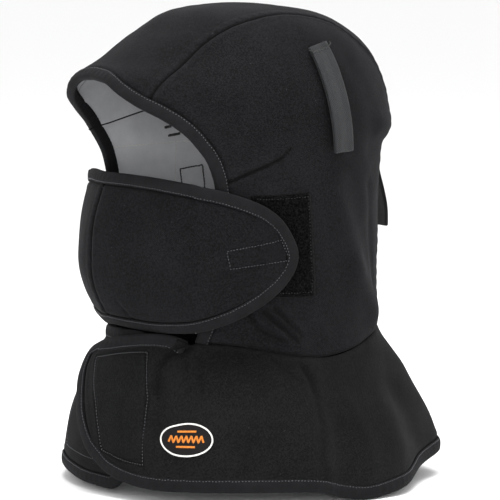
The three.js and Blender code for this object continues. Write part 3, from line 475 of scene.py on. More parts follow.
def twill(name, dark, light, fuzz):
    """Brushed cotton twill, dyed black. The eye sees a matt face with faint slanting wales, a soft
    nap that greys at glancing angles, faded cloth, seams lighter where rubbed, painted shade
    darkening the seam grooves, creases and tape edges, and a few pale specks of lint."""
    made, tree, shader = finish_of(name, Roughness=0.93, Sheen_Weight=fuzz, Sheen_Roughness=0.5,
                                   Sheen_Tint=linear("#c9c9d2"), Specular_IOR_Level=0.1)
    place = node(tree, "ShaderNodeTexCoord").outputs["Object"]
    cloth = node(tree, "ShaderNodeUVMap", uv_map="cloth_metres").outputs["UV"]
    slant = node(tree, "ShaderNodeMapping", {"Vector": cloth, "Rotation": (0, 0, math.radians(WALE_SLANT))})
    wale = 2 * math.pi / (WALE * MM)
    parts = node(tree, "ShaderNodeSeparateXYZ", {"Vector": slant.outputs["Vector"]})
    wander = node(tree, "ShaderNodeTexNoise", {"Vector": place, "Scale": 260, "Detail": 3})
    bent = node(tree, "ShaderNodeMath", {0: parts.outputs["X"], 1: wale, 2: wander.outputs["Fac"]},
                operation="MULTIPLY_ADD")
    wales = node(tree, "ShaderNodeMath", {0: bent.outputs[0]}, operation="SINE")
    picks = node(tree, "ShaderNodeMath", {0: parts.outputs["Y"], 1: wale * 1.35, 2: wander.outputs["Fac"]},
                 operation="MULTIPLY_ADD")
    crossing = node(tree, "ShaderNodeMath", {0: picks.outputs[0]}, operation="SINE")
    threads = node(tree, "ShaderNodeMath", {0: crossing.outputs[0], 1: 0.35, 2: wales.outputs[0]},
                   operation="MULTIPLY_ADD")
    nap = node(tree, "ShaderNodeTexNoise", {"Vector": place, "Scale": 780, "Detail": 4, "Roughness": 0.8})
    faded = node(tree, "ShaderNodeTexNoise", {"Vector": place, "Scale": 16, "Detail": 5, "Roughness": 0.6})
    # Wear lightens the twill and painted shade darkens it wherever this attribute says.
    wear_and_shade_attribute = node(tree, "ShaderNodeAttribute", attribute_name="tone_and_shade")
    fade = node(tree, "ShaderNodeMapRange", {"Value": faded.outputs["Fac"], 1: 0.3, 2: 0.7, 3: 0.15, 4: 0.75})
    worn_and_shaded = node(tree, "ShaderNodeMath", {0: wear_and_shade_attribute.outputs["Fac"], 1: nap.outputs["Fac"], 2: fade.outputs[0]},
                operation="MULTIPLY_ADD")
    woven = node(tree, "ShaderNodeMath", {0: threads.outputs[0], 1: 0.02, 2: worn_and_shaded.outputs[0]},
                 operation="MULTIPLY_ADD")
    hairs = node(tree, "ShaderNodeMapRange", {"Value": nap.outputs["Fac"], 1: 0.25, 2: 0.75, 3: -1.3, 4: 1.3})
    grain = node(tree, "ShaderNodeMath", {0: woven.outputs[0], 1: hairs.outputs[0]}, operation="ADD",
                 use_clamp=True)
    dyed = node(tree, "ShaderNodeMix", {0: grain.outputs[0], 6: linear(dark), 7: linear(light)},
                data_type="RGBA")
    specks = node(tree, "ShaderNodeTexVoronoi", {"Vector": place, "Scale": 170, "Randomness": 1})
    near = node(tree, "ShaderNodeMapRange", {"Value": specks.outputs["Distance"], 1: 0.02, 2: 0.07,
                                             3: 1, 4: 0})
    some = node(tree, "ShaderNodeSeparateXYZ", {"Vector": specks.outputs["Color"]})
    rare = node(tree, "ShaderNodeMath", {0: some.outputs["X"], 1: 0.7}, operation="GREATER_THAN")
    lint = node(tree, "ShaderNodeMath", {0: near.outputs[0], 1: rare.outputs[0]}, operation="MULTIPLY")
    dusty = node(tree, "ShaderNodeMix", {0: lint.outputs[0], 6: dyed.outputs[2], 7: linear("#3a3a3e")},
                 data_type="RGBA")
    tree.links.new(dusty.outputs[2], shader.inputs["Base Color"])
    fluff = node(tree, "ShaderNodeMath", {0: nap.outputs["Fac"], 1: 8, 2: threads.outputs[0]},
                 operation="MULTIPLY_ADD")
    bump = node(tree, "ShaderNodeBump", {"Height": fluff.outputs[0], "Strength": 0.5, "Distance": 0.045 * MM})
    tree.links.new(bump.outputs["Normal"], shader.inputs["Normal"])
    return made


hood_twill = twill("brushed_black_cotton_twill", "#060607", "#171719", 0.03)
BINDING_WIDTH, BINDING_CLOTH = 8.5, 1.0


def panel_heights(places, seams, on, bound=(), neck=""):
    """Relief, wear and painted shade of a panel, from the distance to each of its sewn edges: a lighter worn
    band beside each seam and painted shade down its groove, and where the tape round a bound edge is
    stitched down a groove with a puff behind it and a painted shadow along the tape's edge."""
    points = on(places[..., 0], places[..., 1])
    down, over = spans(points, 0), spans(points, 1)
    reach = {"top": (down, over), "bottom": (down[-1:] - down, over),
             "left": (over, down), "right": (over[:, -1:] - over, down)}
    height = sum(seam_dip(*reach[name]) * (0.35 if name == neck else 1) for name in seams)
    tone_and_shade = np.clip(sum(bell(reach[name][0] - 3.6, 2.2) for name in seams), 0, 1) * 0.35
    for name in seams:
        # Painted shade: a dark line down each seam's groove, fainter at the neck.
        tone_and_shade = tone_and_shade - (0.6 if name == neck else 2.4) * bell(reach[name][0], 0.9)
    for name in bound:
        past = reach[name][0] - BINDING_WIDTH
        height = height - 1.0 * bell(past - 0.6, 0.9) + 0.4 * bell(past - 4.4, 2.4)
        # Painted shadow along the tape's edge.
        tone_and_shade = tone_and_shade - 1.2 * bell(past - 0.5, 0.8)
    return height, tone_and_shade


crown_height, crown_wear_and_shade = panel_heights(crown_places, ["left", "right", "bottom"], on_hood, ["top"], "bottom")
crown_body = cloth_body(crown_places, on_hood, crown_height, crown_height * 0.5 - SHELL, crown_wear_and_shade)
crown = new_piece("crown_cloth", crown_body, hood_twill, ["crown_panel"])

# Side panels: the outer cloth of each side, of the same twill, sewn to the
# crown strip along its top and back edge, with a short dart let in where the
# cheek turns under, which leaves a pinched line behind the face opening.
# The rows run from crown seam to neck and the columns from face to nape.
SIDE_ROWS, SIDE_COLS = 260, 100
side_top = evenly(through(seam_over), on_hood, SIDE_COLS, CROWD)
side_rear = evenly(through(seam_down), on_hood, SIDE_ROWS, CROWD)
side_face = evenly(lambda s: face_curve(brow_share + (1 - brow_share) * s), on_hood, SIDE_ROWS, CROWD)
side_neck = evenly(lambda s: polar(THROAT_TURN + (nape_turn - THROAT_TURN) * s, NECK_LEVEL), on_hood,
                   SIDE_COLS, CROWD)
side_places = filled(side_top, side_neck, side_face, side_rear, on_hood)
far_side_places = (side_places * MIRROR)[:, ::-1]
DART = table("turn level", [[121.5, 6.1], [112.5, 5.9], [104, 5.74], [96.5, 5.56], [91.5, 5.3]])
# Slanting wrinkles where the cheek meets the neck seam, as turns and levels.
NECK_LAPS = [
    [(114, 8.36), (110, 8.54), (105.5, 8.7), (95, 8.8)], [(105, 8.36), (96, 8.58), (86, 8.78)],
    [(99, 8.3), (92, 8.5), (84, 8.7)],
]


def crease(points, line, width, height, fade):
    """Height beside a line through points: a bell across it, fading towards its far end."""
    total = np.zeros(points.shape[:-1])
    for k in range(len(line) - 1):
        near = bell(beside(points, line[k], line[k + 1]), width)
        total = np.maximum(total, near * (1 - fade * (k + 0.5) / (len(line) - 1)))
    return height * total


def side_body(places, seams, face, mirror):
    """One side panel with its seam and dart relief, and painted shade along the dart and in the neck
    wrinkles.
    """
    height, tone_and_shade = panel_heights(places, seams, on_hood, [face], "bottom")
    points = on_hood(places[..., 0], places[..., 1])
    dart = on_hood(*(polar(DART["turn"], DART["level"]) * [mirror, 1]).T)
    height = height + crease(points, dart, 7, 1.6, 0.7) + crease(points, dart, 1.3, -2.6, 0.5)
    # Painted shade: a dark line down the dart's crease.
    tone_and_shade = tone_and_shade - crease(points, dart, 1.1, 3.6, 0.6)
    for lap_line in NECK_LAPS:
        lap = on_hood(*(polar(*np.array(lap_line, float).T) * [mirror, 1]).T)
        ridge = crease(points - [0, 0, 4.2], lap, 3.2, 1.7, 0.35)
        height = height - crease(points, lap, 2.0, 2.0, 0.35) + ridge
        # Painted shade in each slanting wrinkle.
        tone_and_shade = tone_and_shade - crease(points, lap, 1.8, 1.0, 0.35)
    return cloth_body(places, on_hood, height, np.minimum(height * 0.5, 0) - SHELL, tone_and_shade)


near_side_body = side_body(side_places, ["top", "right", "bottom"], "left", 1)
far_side_body = side_body(far_side_places, ["top", "left", "bottom"], "right", -1)
near_side = new_piece("side_cloth_left", near_side_body, hood_twill, ["side_panel_left"])
far_side = new_piece("side_cloth_right", far_side_body, hood_twill, ["side_panel_right"])

# Hood lining: the inner layer that shows through the face opening, a smooth
# silver-grey lining cloth with a brushed face. It is cut in the same three
# panels and hangs inside the twill, with some rows sewn right through it.
# Pitch of the threads, drawn about three times as coarse as they are.
LINING_THREAD = 0.9


def silver_cloth(name, dark, light):
    """Silver-grey lining cloth, closely woven and brushed. The eye sees an even pale grey with a
    soft bloom, faint crossing threads and painted shade in its seam grooves and under the brow."""
    made, tree, shader = finish_of(name, Roughness=0.7, Sheen_Weight=0.25, Sheen_Roughness=0.4,
                                   Specular_IOR_Level=0.3)
    place = node(tree, "ShaderNodeTexCoord").outputs["Object"]
    cloth = node(tree, "ShaderNodeUVMap", uv_map="cloth_metres").outputs["UV"]
    parts = node(tree, "ShaderNodeSeparateXYZ", {"Vector": cloth})
    thread = 2 * math.pi / (LINING_THREAD * MM)
    warp = node(tree, "ShaderNodeMath", {0: parts.outputs["X"], 1: thread}, operation="MULTIPLY")
    weft = node(tree, "ShaderNodeMath", {0: parts.outputs["Y"], 1: thread}, operation="MULTIPLY")
    warp = node(tree, "ShaderNodeMath", {0: warp.outputs[0]}, operation="SINE")
    weft = node(tree, "ShaderNodeMath", {0: weft.outputs[0]}, operation="SINE")
    weave = node(tree, "ShaderNodeMath", {0: warp.outputs[0], 1: weft.outputs[0]}, operation="MULTIPLY")
    cloud = node(tree, "ShaderNodeTexNoise", {"Vector": place, "Scale": 60, "Detail": 6, "Roughness": 0.62})
    grain = node(tree, "ShaderNodeMath", {0: weave.outputs[0], 1: 0.1, 2: cloud.outputs["Fac"]},
                 operation="MULTIPLY_ADD", use_clamp=True)
    wear_and_shade_attribute = node(tree, "ShaderNodeAttribute", attribute_name="tone_and_shade")
    unshaded = node(tree, "ShaderNodeMix", {0: grain.outputs[0], 6: linear(dark), 7: linear(light)},
                 data_type="RGBA")
    # Painted shade: darker grey where the attribute marks the seam grooves and the brow's shade.
    seam = node(tree, "ShaderNodeMix", {0: wear_and_shade_attribute.outputs["Fac"], 6: unshaded.outputs[2], 7: linear("#3c3c3e")},
                data_type="RGBA")
    tree.links.new(seam.outputs[2], shader.inputs["Base Color"])
    nap = node(tree, "ShaderNodeTexNoise", {"Vector": place, "Scale": 700, "Detail": 3})
    fluff = node(tree, "ShaderNodeMath", {0: weave.outputs[0], 1: 0.4, 2: nap.outputs["Fac"]},
                 operation="MULTIPLY_ADD")
    bump = node(tree, "ShaderNodeBump", {"Height": fluff.outputs[0], "Strength": 0.4, "Distance": 0.12 * MM})
    tree.links.new(bump.outputs["Normal"], shader.inputs["Normal"])
    return made


silver_lining = silver_cloth("silver_grey_lining_cloth", "#a3a4a7", "#c3c4c7")


def hood_level_at(turn, z):
    """Ring level of the hood at a turn and a height, by halving."""
    low = np.full(np.broadcast(turn, z).shape, 3.0)
    high = np.full(low.shape, float(NECK_LEVEL))
    for _ in range(24):
        middle = (low + high) / 2
        above = hood_height(turn, middle) > z
        low = np.where(above, middle, low)
        high = np.where(above, high, middle)
    return low


def inner_wall(points, height):
    """Places on the lining for points given as x, y and z, with the point and the way it faces."""
    x, y, z = np.array(points, float).T
    turn = np.arctan2(x, y - HOOD_CENTRE)
    across, along = polar(np.degrees(turn), hood_level_at(turn, z)).T
    face = on_hood(across, along, -WALL - height)
    return face, unit(face - on_hood(across, along, -WALL - height + 1))


def between(points, steps):
    """Many points along straight lines through a few."""
    points = np.array(points, float)
    at = np.linspace(0, len(points) - 1, steps)
    return np.stack([np.interp(at, np.arange(len(points)), points[:, k]) for k in range(points.shape[1])], -1)


# The joining seam on the far wall, and a slack fold under the brow.
LINING_SEAM = [(-72, -88, -93), (-77, -66, -88.5), (-80, -45, -82.5), (-84, -25, -77)]
LINING_FOLD = [(-64, -94, -70), (-76, -70, -64), (-82, -45, -60)]
lining_seam, lining_fold = inner_wall(LINING_SEAM, 0)[0], inner_wall(LINING_FOLD, 0)[0]
lining_bodies = []
for places, seams in [(crown_places, ["left", "right"]), (side_places, ["top", "right"]),
                      (far_side_places, ["top", "left"])]:
    places = places[::2, ::2]
    points = on_hood(places[..., 0], places[..., 1], -WALL)
    down, over = spans(points, 0), spans(points, 1)
    reach = {"top": down, "left": over, "right": over[:, -1:] - over}
    groove = sum(bell(reach[name], 1.1) for name in seams)
    slack = crease(points, lining_fold, 4, 1.1, 0.4) + crease(points, lining_seam, 4.5, 0.9, 0.2)
    inner = np.minimum(-WALL + 0.8 * groove - slack, -SHELL - GAP - 0.5)
    # Painted shade: darker in the seam grooves and towards the top, where the brow shades the lining.
    shade = 0.5 * np.clip(groove, 0, 1) + 0.34 * ease(points[..., 2], -118, -76)
    lining_bodies.append(cloth_body(places, on_hood, -SHELL - GAP, inner, shade))
lining = new_piece("grey_lining", joined(lining_bodies), silver_lining, ["hood_lining"])


def cap_of(sides):
    """The four-sided faces that close a ring of an even number of points."""
    k = np.arange(sides // 2 - 1)
    return np.stack([k, k + 1, sides - 2 - k, sides - 1 - k], -1)


def thread_body(centre, outward, radius, taper, sides=6):
    """Many short threads: rings round each row of centres, thinner at the ends, closed with caps."""
    count, stations = centre.shape[:2]
    along = unit(np.gradient(centre, axis=1))
    side = unit(np.cross(along, outward))
    top = np.cross(side, along)
    angle = np.arange(sides) * 2 * math.pi / sides
    thick = radius * np.broadcast_to(taper, (stations,))[None, :, None, None]
    ring = np.cos(angle)[:, None] * side[:, :, None] + np.sin(angle)[:, None] * top[:, :, None]
    points = centre[:, :, None] + ring * thick
    index = np.arange(points.size // 3).reshape(count, stations, sides)
    wrapped = np.concatenate([index, index[:, :, :1]], 2)
    starts, ends = wrapped[:, :-1], wrapped[:, 1:]
    walls = np.stack([starts[..., :-1], ends[..., :-1], ends[..., 1:], starts[..., 1:]], -1)
    cap = cap_of(sides)
    first, last = index[:, 0][:, cap].reshape(-1, 4), index[:, -1][:, cap].reshape(-1, 4)[:, ::-1]
    points = points.reshape(-1, 3)
    quads = np.concatenate([walls.reshape(-1, 4), first, last])
    return points, quads, np.zeros((len(points), 2)), np.zeros(len(points))


# A thin strip of black twill along the far lining seam: a painted shadow, a dark line standing for the shade
# in the seam.
seam_shadow_path, seam_shadow_facing = inner_wall(between(LINING_SEAM, 60), 0.85)
seam_shadow_strip = thread_body(seam_shadow_path[None], seam_shadow_facing[None], 0.55, 1)
new_piece("lining_seam_shadow_strip", seam_shadow_strip, hood_twill)


def stitch_body(points, outward, pitch, length, radius, seed):
    """A row of stitches: each thread comes up out of the cloth, lies on it and dives back."""
    draw = np.random.default_rng(seed)
    run = spans(points, 0)
    count = max(int(run[-1] // pitch), 1)
    t = np.linspace(0, 1, 5)
    start = (np.arange(count) + 0.5) * run[-1] / count - length / 2
    at = (start + draw.normal(0, 0.07, count))[:, None] + length * t
    centre = np.stack([np.interp(at, run, points[:, k]) for k in range(3)], -1)
    facing = unit(np.stack([np.interp(at, run, outward[:, k]) for k in range(3)], -1))
    side = unit(np.cross(np.gradient(centre, axis=1), facing))
    skew = draw.normal(0, 0.1, (count, 1, 1))
    skew = skew + draw.normal(0, 0.09, (count, 1, 1)) * (2 * t - 1)[None, :, None]
    centre = centre + facing * (radius * (1.5 * np.sin(math.pi * t) - 0.75))[None, :, None] + side * skew
    return thread_body(centre, facing, radius, 0.62 + 0.38 * np.sin(math.pi * t))


def spun_thread(name, dark, light):
    """Spun polyester sewing thread. The eye sees short soft glints broken by the twist."""
    made, tree, shader = finish_of(name, Roughness=0.6, Sheen_Weight=0.2)
    place = node(tree, "ShaderNodeTexCoord").outputs["Object"]
    twist = node(tree, "ShaderNodeTexNoise", {"Vector": place, "Scale": 1500, "Detail": 2})
    tone = node(tree, "ShaderNodeMix", {0: twist.outputs["Fac"], 6: linear(dark), 7: linear(light)},
                data_type="RGBA")
    tree.links.new(tone.outputs[2], shader.inputs["Base Color"])
    bump = node(tree, "ShaderNodeBump", {"Height": twist.outputs["Fac"], "Strength": 0.5,
                                         "Distance": 0.1 * MM})
    tree.links.new(bump.outputs["Normal"], shader.inputs["Normal"])
    return made


black_thread = spun_thread("black_spun_thread", "#070708", "#161617")
grey_thread = spun_thread("grey_spun_thread", "#333336", "#5a5a5f")
pale_thread = spun_thread("undyed_spun_thread", "#a9a89f", "#cfcec6")


def stitching(name, rows, thread, pitch=2.4, length=0.85, radius=0.24, seed=1):
    """One piece of all the stitch rows given, each a pair of points and the way they face."""
    bodies = [stitch_body(p, n, pitch, length, radius, seed + k) for k, (p, n) in enumerate(rows)]
    return new_piece(name, joined(bodies), thread)


# Pale rows sewn through from outside, and the black box that holds a patch.
PALE_ROWS = [
    [(-79, -66, -108), (-83, -40, -107.4), (-84, -10, -106.5), (-83, 14, -106)],
    [(-84, -11.5, -107), (-83, -12.5, -137)],
]
BLACK_BOX = [(-84, -6, -150), (-84, -8.5, -127.5), (-83, 9.5, -125), (-83, 12, -150)]
BAR_TACKS = [[(-82, -20.5, -94.9), (-82, -15.6, -94.1)], [(-82, -17.6, -101.4), (-82, -8, -100.2)]]
stitching("lining_pale_stitches", [inner_wall(between(row, 120), 0.1) for row in PALE_ROWS], pale_thread,
          pitch=3.0, length=2.3, radius=0.34, seed=5)
stitching("lining_black_stitches", [inner_wall(between(BLACK_BOX, 160), 0.1)], black_thread,
          pitch=2.2, length=2.2, radius=0.6, seed=9)
tack_rows = []
for tack in BAR_TACKS:
    for lift in (-0.55, 0, 0.55):
        tack_rows.append(inner_wall(between([(x, y, z + lift) for x, y, z in tack], 12), 0.35))
stitching("lining_bar_tacks", tack_rows, black_thread,
          pitch=1.1, length=1.6, radius=0.5, seed=13)

# Face binding: black woven tape, folded over the raw edges of twill and
# lining round the face opening from throat over the brow to throat, and sewn
# down with one row of grey thread along its inner edge.
STITCH_IN, TUCK_RUN = 7.5, 13


def tape_places(on, places, closed, inward_sign):
    """Places and outward sides along an edge, and the step of place for one millimetre inwards."""
    a, b = places.T
    point = on(a, b)
    facing = unit(on(a, b, 1) - point)
    if closed:
        along = np.roll(point, -1, 0) - np.roll(point, 1, 0)
    else:
        along = np.gradient(point, axis=0)
    inward = np.cross(facing, unit(along)) * inward_sign
    reach = 4
    padded = np.concatenate([inward[-reach:], inward, inward[:reach]]) if closed else np.pad(
        inward, ((reach, reach), (0, 0)), mode="edge")
    inward = unit(sum(padded[k:k + len(inward)] for k in range(2 * reach + 1)))
    step = 1e-3 * max(np.ptp(a), 1e-6)
    over = (on(a + step, b) - on(a - step, b)) / (2 * step)
    down = (on(a, b + 1e-3) - on(a, b - 1e-3)) / 2e-3
    oo, od, dd = (over * over).sum(1), (over * down).sum(1), (down * down).sum(1)
    io, dn = (inward * over).sum(1), (inward * down).sum(1)
    whole = oo * dd - od * od
    return np.stack([(io * dd - dn * od) / whole, (dn * oo - io * od) / whole], -1)


def tucked(run, tuck):
    """How deep a tape lies under the cloth beside it along its run: tucked in at both ends."""
    return tuck * (2 - ease(run, 0, TUCK_RUN) - ease(run[-1] - run, 0, TUCK_RUN))


def tube_body(rings, closed=False):
    """A profile carried along stations, with the ends capped across the profile's own fold."""
    stations, corners_round = rings.shape[:2]
    index = np.arange(stations * corners_round).reshape(stations, corners_round)
    wrapped = np.concatenate([index, index[:, :1]], 1)
    if closed:
        wrapped = np.concatenate([wrapped, wrapped[:1]])
    quads = [quads_of(wrapped)]
    if not closed:
        cap = cap_of(corners_round)
        quads += [index[0][cap], index[-1][cap][:, ::-1]]
    uv = np.stack([spans(rings, 0), spans(rings, 1)], -1).reshape(-1, 2)
    points = rings.reshape(-1, 3)
    return points, np.concatenate(quads), uv, np.zeros(len(points))


def tape_rings(on, places, cloth, closed, inward_sign, seed, tuck=0):
    """Rings of a tape folded over an edge: two puffed legs and a round fold, drawn in at the stitches."""
    inwards = tape_places(on, places, closed, inward_sign)
    run = spans(on(*places.T), 0)[:, None]
    q = np.linspace(0, 1, 21)
    leg = np.clip(np.abs(q - 0.5) * 2.5 - 0.25, 0, 1)
    sense = np.sign(0.5 - q)
    turn = np.clip((q - 0.4) / 0.2, 0, 1) * math.pi
    draw = np.random.default_rng(seed).uniform(0, 6, 3)
    rings = []
    for skin in (1, 0):
        x = leg * BINDING_WIDTH - (0.15 + BINDING_CLOTH * skin) * np.sin(turn)
        y = -cloth / 2 + (cloth / 2 + 0.2 + BINDING_CLOTH * skin) * np.cos(turn)
        slow = np.sin(run / 9 + draw[2]) * 0.5 + ripple(run, 6.4, 1.7 * np.sin(run / 19 + draw[0]) + draw[1])
        puff = 0.45 * np.sin(math.pi * leg) + 0.17 * slow * np.sin(math.pi * leg) ** 0.5
        pulled = 0.34 * bell(leg * BINDING_WIDTH - STITCH_IN, 0.9)
        rolled = 0.45 * bell((leg - 1) * BINDING_WIDTH, 0.45)
        height = y + skin * sense * (puff - pulled - rolled) * (leg > 0) - tucked(run, tuck)
        inset = x + leg**6 * 0.22 * ripple(run, 3.2) * skin
        order = slice(None) if skin else slice(None, None, -1)
        at_a = places[:, :1] + inwards[:, :1] * inset
        at_b = places[:, 1:] + inwards[:, 1:] * inset
        rings.append(on(at_a, at_b, height + 0 * at_a)[:, order])
    return np.concatenate(rings, 1), inwards


# Pitch of the ribs, drawn twice as coarse as they are.
TAPE_RIB = 1.1


def woven_tape(name, dark, light):
    """Black woven binding tape. The eye sees fine cross ribs, a slight sheen along the folded edge and
    a duller, dustier face in patches."""
    made, tree, shader = finish_of(name, Roughness=0.85, Sheen_Weight=0.02, Sheen_Roughness=0.45,
                                   Sheen_Tint=linear("#c4c4cc"), Specular_IOR_Level=0.1)
    place = node(tree, "ShaderNodeTexCoord").outputs["Object"]
    cloth = node(tree, "ShaderNodeUVMap", uv_map="cloth_metres").outputs["UV"]
    parts = node(tree, "ShaderNodeSeparateXYZ", {"Vector": cloth})
    ribs = node(tree, "ShaderNodeMath", {0: parts.outputs["X"], 1: 2 * math.pi / (TAPE_RIB * MM)},
                operation="MULTIPLY")
    ribs = node(tree, "ShaderNodeMath", {0: ribs.outputs[0]}, operation="SINE")
    cloud = node(tree, "ShaderNodeTexNoise", {"Vector": place, "Scale": 85, "Detail": 6, "Roughness": 0.65})
    grain = node(tree, "ShaderNodeMath", {0: ribs.outputs[0], 1: 0.12, 2: cloud.outputs["Fac"]},
                 operation="MULTIPLY_ADD", use_clamp=True)
    tone = node(tree, "ShaderNodeMix", {0: grain.outputs[0], 6: linear(dark), 7: linear(light)},
                data_type="RGBA")
    tree.links.new(tone.outputs[2], shader.inputs["Base Color"])
    nap = node(tree, "ShaderNodeTexNoise", {"Vector": place, "Scale": 1000, "Detail": 3})
    rough = node(tree, "ShaderNodeMath", {0: nap.outputs["Fac"], 1: 0.8, 2: ribs.outputs[0]},
                 operation="MULTIPLY_ADD")
    bump = node(tree, "ShaderNodeBump", {"Height": rough.outputs[0], "Strength": 0.5, "Distance": 0.14 * MM})
    tree.links.new(bump.outputs["Normal"], shader.inputs["Normal"])
    return made


binding_tape = woven_tape("black_woven_binding_tape", "#0a0a0b", "#1a1a1c")


def row_on(on, a, b, height):
    """Points along a seam at a height over a surface, and the way they face."""
    row = on(a, b, height)
    return row, unit(on(a, b, height + 1) - row)


def bound_edge(name, on, places, cloth, closed, inward_sign, nodes, seed, tuck=0):
    """The tape round an edge and its row of stitches, as two pieces."""
    rings, inwards = tape_rings(on, places, cloth, closed, inward_sign, seed, tuck)
    tape = new_piece(name, tube_body(rings, closed), binding_tape, nodes)
    a, b = (places + inwards * STITCH_IN).T
    if closed:
        a, b = np.append(a, a[:1]), np.append(b, b[:1])
    row = row_on(on, a, b, BINDING_CLOTH + 0.12 - tucked(spans(on(a, b), 0), tuck))
    return tape, stitching(name + "_stitches", [row], grey_thread, seed=seed)


def face_path(s):
    """The whole face edge from the near throat over the brow to the far throat."""
    return face_curve(np.abs(1 - 2 * s)) * np.stack([np.sign(1 - 2 * s), 1 + 0 * s], -1)


face_places = evenly(face_path, on_hood, 360)
face_tape, face_sewn = bound_edge("face_binding_tape", on_hood, face_places, WALL, False, -1,
                                  ["face_binding"], 41)

# Loop patches: the fuzzy half of a hook and loop fastening on each cheek,
# black nylon loops on a woven ground with a closed selvage at the rear edge,
# sewn round with black thread. The guard's ends press onto them.
LOOP_FRONT, LOOP_REAR_TOP, LOOP_REAR_BOTTOM = 112, 80.5, 76
LOOP_TOP, LOOP_BOTTOM = 6.36, 8.1
LOOP_PATCH, LOOP_LIFT = 1.2, 0.6
LOOP_COUNT = 1250
# How far in from the patch's edges its stitches run, as shares of its height and width.
ROW_IN_DOWN, ROW_IN_OVER = 0.034, 0.062


def napped_nylon(name, dark, light):
    """Black nylon loop pile. The eye sees a deep dull black with tiny silky glints where loops turn,
    and a paler woven selvage."""
    made, tree, shader = finish_of(name, Roughness=0.9, Specular_IOR_Level=0.03)
    place = node(tree, "ShaderNodeTexCoord").outputs["Object"]
    tufts = node(tree, "ShaderNodeTexVoronoi", {"Vector": place, "Scale": 620, "Randomness": 1})
    cloud = node(tree, "ShaderNodeTexNoise", {"Vector": place, "Scale": 760, "Detail": 3, "Roughness": 0.7})
    glint = node(tree, "ShaderNodeMapRange", {"Value": cloud.outputs["Fac"], 1: 0.42, 2: 0.68, 3: 0, 4: 1})
    selvage = node(tree, "ShaderNodeAttribute", attribute_name="tone_and_shade")
    paler = node(tree, "ShaderNodeMath", {0: selvage.outputs["Fac"], 1: 1.1, 2: glint.outputs[0]},
                 operation="MULTIPLY_ADD")
    tone = node(tree, "ShaderNodeMix", {0: paler.outputs[0], 6: linear(dark), 7: linear(light)},
                data_type="RGBA", clamp_factor=False)
    tree.links.new(tone.outputs[2], shader.inputs["Base Color"])
    bump = node(tree, "ShaderNodeBump", {"Height": tufts.outputs["Distance"], "Strength": 0.8,
                                         "Distance": 0.4 * MM})
    tree.links.new(bump.outputs["Normal"], shader.inputs["Normal"])
    return made


loop_pile = napped_nylon("black_nylon_loop_pile", "#020202", "#161617")


def loop_place(v, u):
    """Place on the near cheek: v runs down the patch and u from its front to its rear edge."""
    rear = LOOP_REAR_TOP + (LOOP_REAR_BOTTOM - LOOP_REAR_TOP) * v
    return polar(LOOP_FRONT + (rear - LOOP_FRONT) * u, LOOP_TOP + (LOOP_BOTTOM - LOOP_TOP) * v)


def loop_patch(name, mirror, seed, cad_node):
    """Ground of the patch with rounded edges, its selvage ridge, the standing loops and the stitches."""
    draw = np.random.default_rng(seed)
    v, u = np.meshgrid(np.linspace(0, 1, 84), np.linspace(0, 1, 50), indexing="ij")
    places = loop_place(v, u) * [mirror, 1]
    points = on_hood(places[..., 0], places[..., 1])
    down, over = spans(points, 0), spans(points, 1)
    rear = over[:, -1:] - over
    edge = np.minimum(np.minimum(down, down[-1:] - down), np.minimum(over, rear))
    rounded = np.sqrt(np.clip(edge / 0.8, 0, 1))
    selvage = np.exp(-((rear - 1.4) / 0.8) ** 4)
    ridge = (0.35 + 0.18 * ripple(down, 1.7)) * selvage
    rough = unevenness(points, 1.9, 0.16, seed) * (1 - selvage)
    sewn_in = -0.35 * bell(edge - 2.6, 0.5) * (rear > 3)
    top = LOOP_LIFT + (LOOP_PATCH - 0.35) * (0.25 + 0.75 * rounded) + ridge + rough + sewn_in
    body = cloth_body(places, on_hood, top, LOOP_LIFT - 0.45, selvage)
    at_v, at_u = draw.uniform(0.025, 0.975, LOOP_COUNT), draw.uniform(0.04, 0.9, LOOP_COUNT)
    spot = loop_place(at_v, at_u) * [mirror, 1]
    foot = on_hood(spot[:, 0], spot[:, 1], LOOP_LIFT + 0.55)
    facing = unit(on_hood(spot[:, 0], spot[:, 1], 2) - foot)
    lean = unit(np.cross(facing, draw.normal(size=(LOOP_COUNT, 3))))
    t = np.linspace(0, 1, 5)
    wide = draw.uniform(0.35, 0.85, (LOOP_COUNT, 1, 1))
    tall = draw.uniform(0.5, 1.0, (LOOP_COUNT, 1, 1))
    tilt = draw.normal(0, 0.25, (LOOP_COUNT, 1, 1))
    arch = np.sin(math.pi * t)[None, :, None] * tall
    centre = foot[:, None] + lean[:, None] * (t - 0.5)[None, :, None] * 2 * wide
    centre = centre + (facing[:, None] + np.cross(facing, lean)[:, None] * tilt) * arch
    loops = thread_body(centre, facing[:, None] + 0 * centre, 0.14, 1, sides=4)
    made = new_piece(name, joined([body, loops]), loop_pile, [cad_node])
    high, low, ahead, behind = ROW_IN_DOWN, 1 - ROW_IN_DOWN, ROW_IN_OVER, 1 - ROW_IN_OVER
    round_it = between([(high, ahead), (high, behind), (low, behind), (low, ahead), (high, ahead)], 400)
    path = loop_place(*round_it.T) * [mirror, 1]
    row = row_on(on_hood, *path.T, LOOP_LIFT + LOOP_PATCH * 0.5)
    stitching(name + "_stitches", [row], black_thread, seed=seed)
    return made


near_loops = loop_patch("loop_pile_patch_left", 1, 51, "loop_patch_left")
far_loops = loop_patch("loop_pile_patch_right", -1, 52, "loop_patch_right")

# Hat straps: doubled lengths of 19 mm webbing that loop round the hard hat's
# suspension, one on each side and one behind. Each is sewn down by a row near
# its cut top end, with loose thread tails, and stands a little off below.
WEBBING_WIDTH, WEBBING = 19, 1.2
STRAP_ROOM, SOFT_EDGE = 1.5, 0.6
# Pitch of the cords and of the threads across them, and how far each slant of the
# chevron runs.
WEBBING_CORD, WEBBING_PICK, CHEVRON = 1.3, 1.5, 6.3


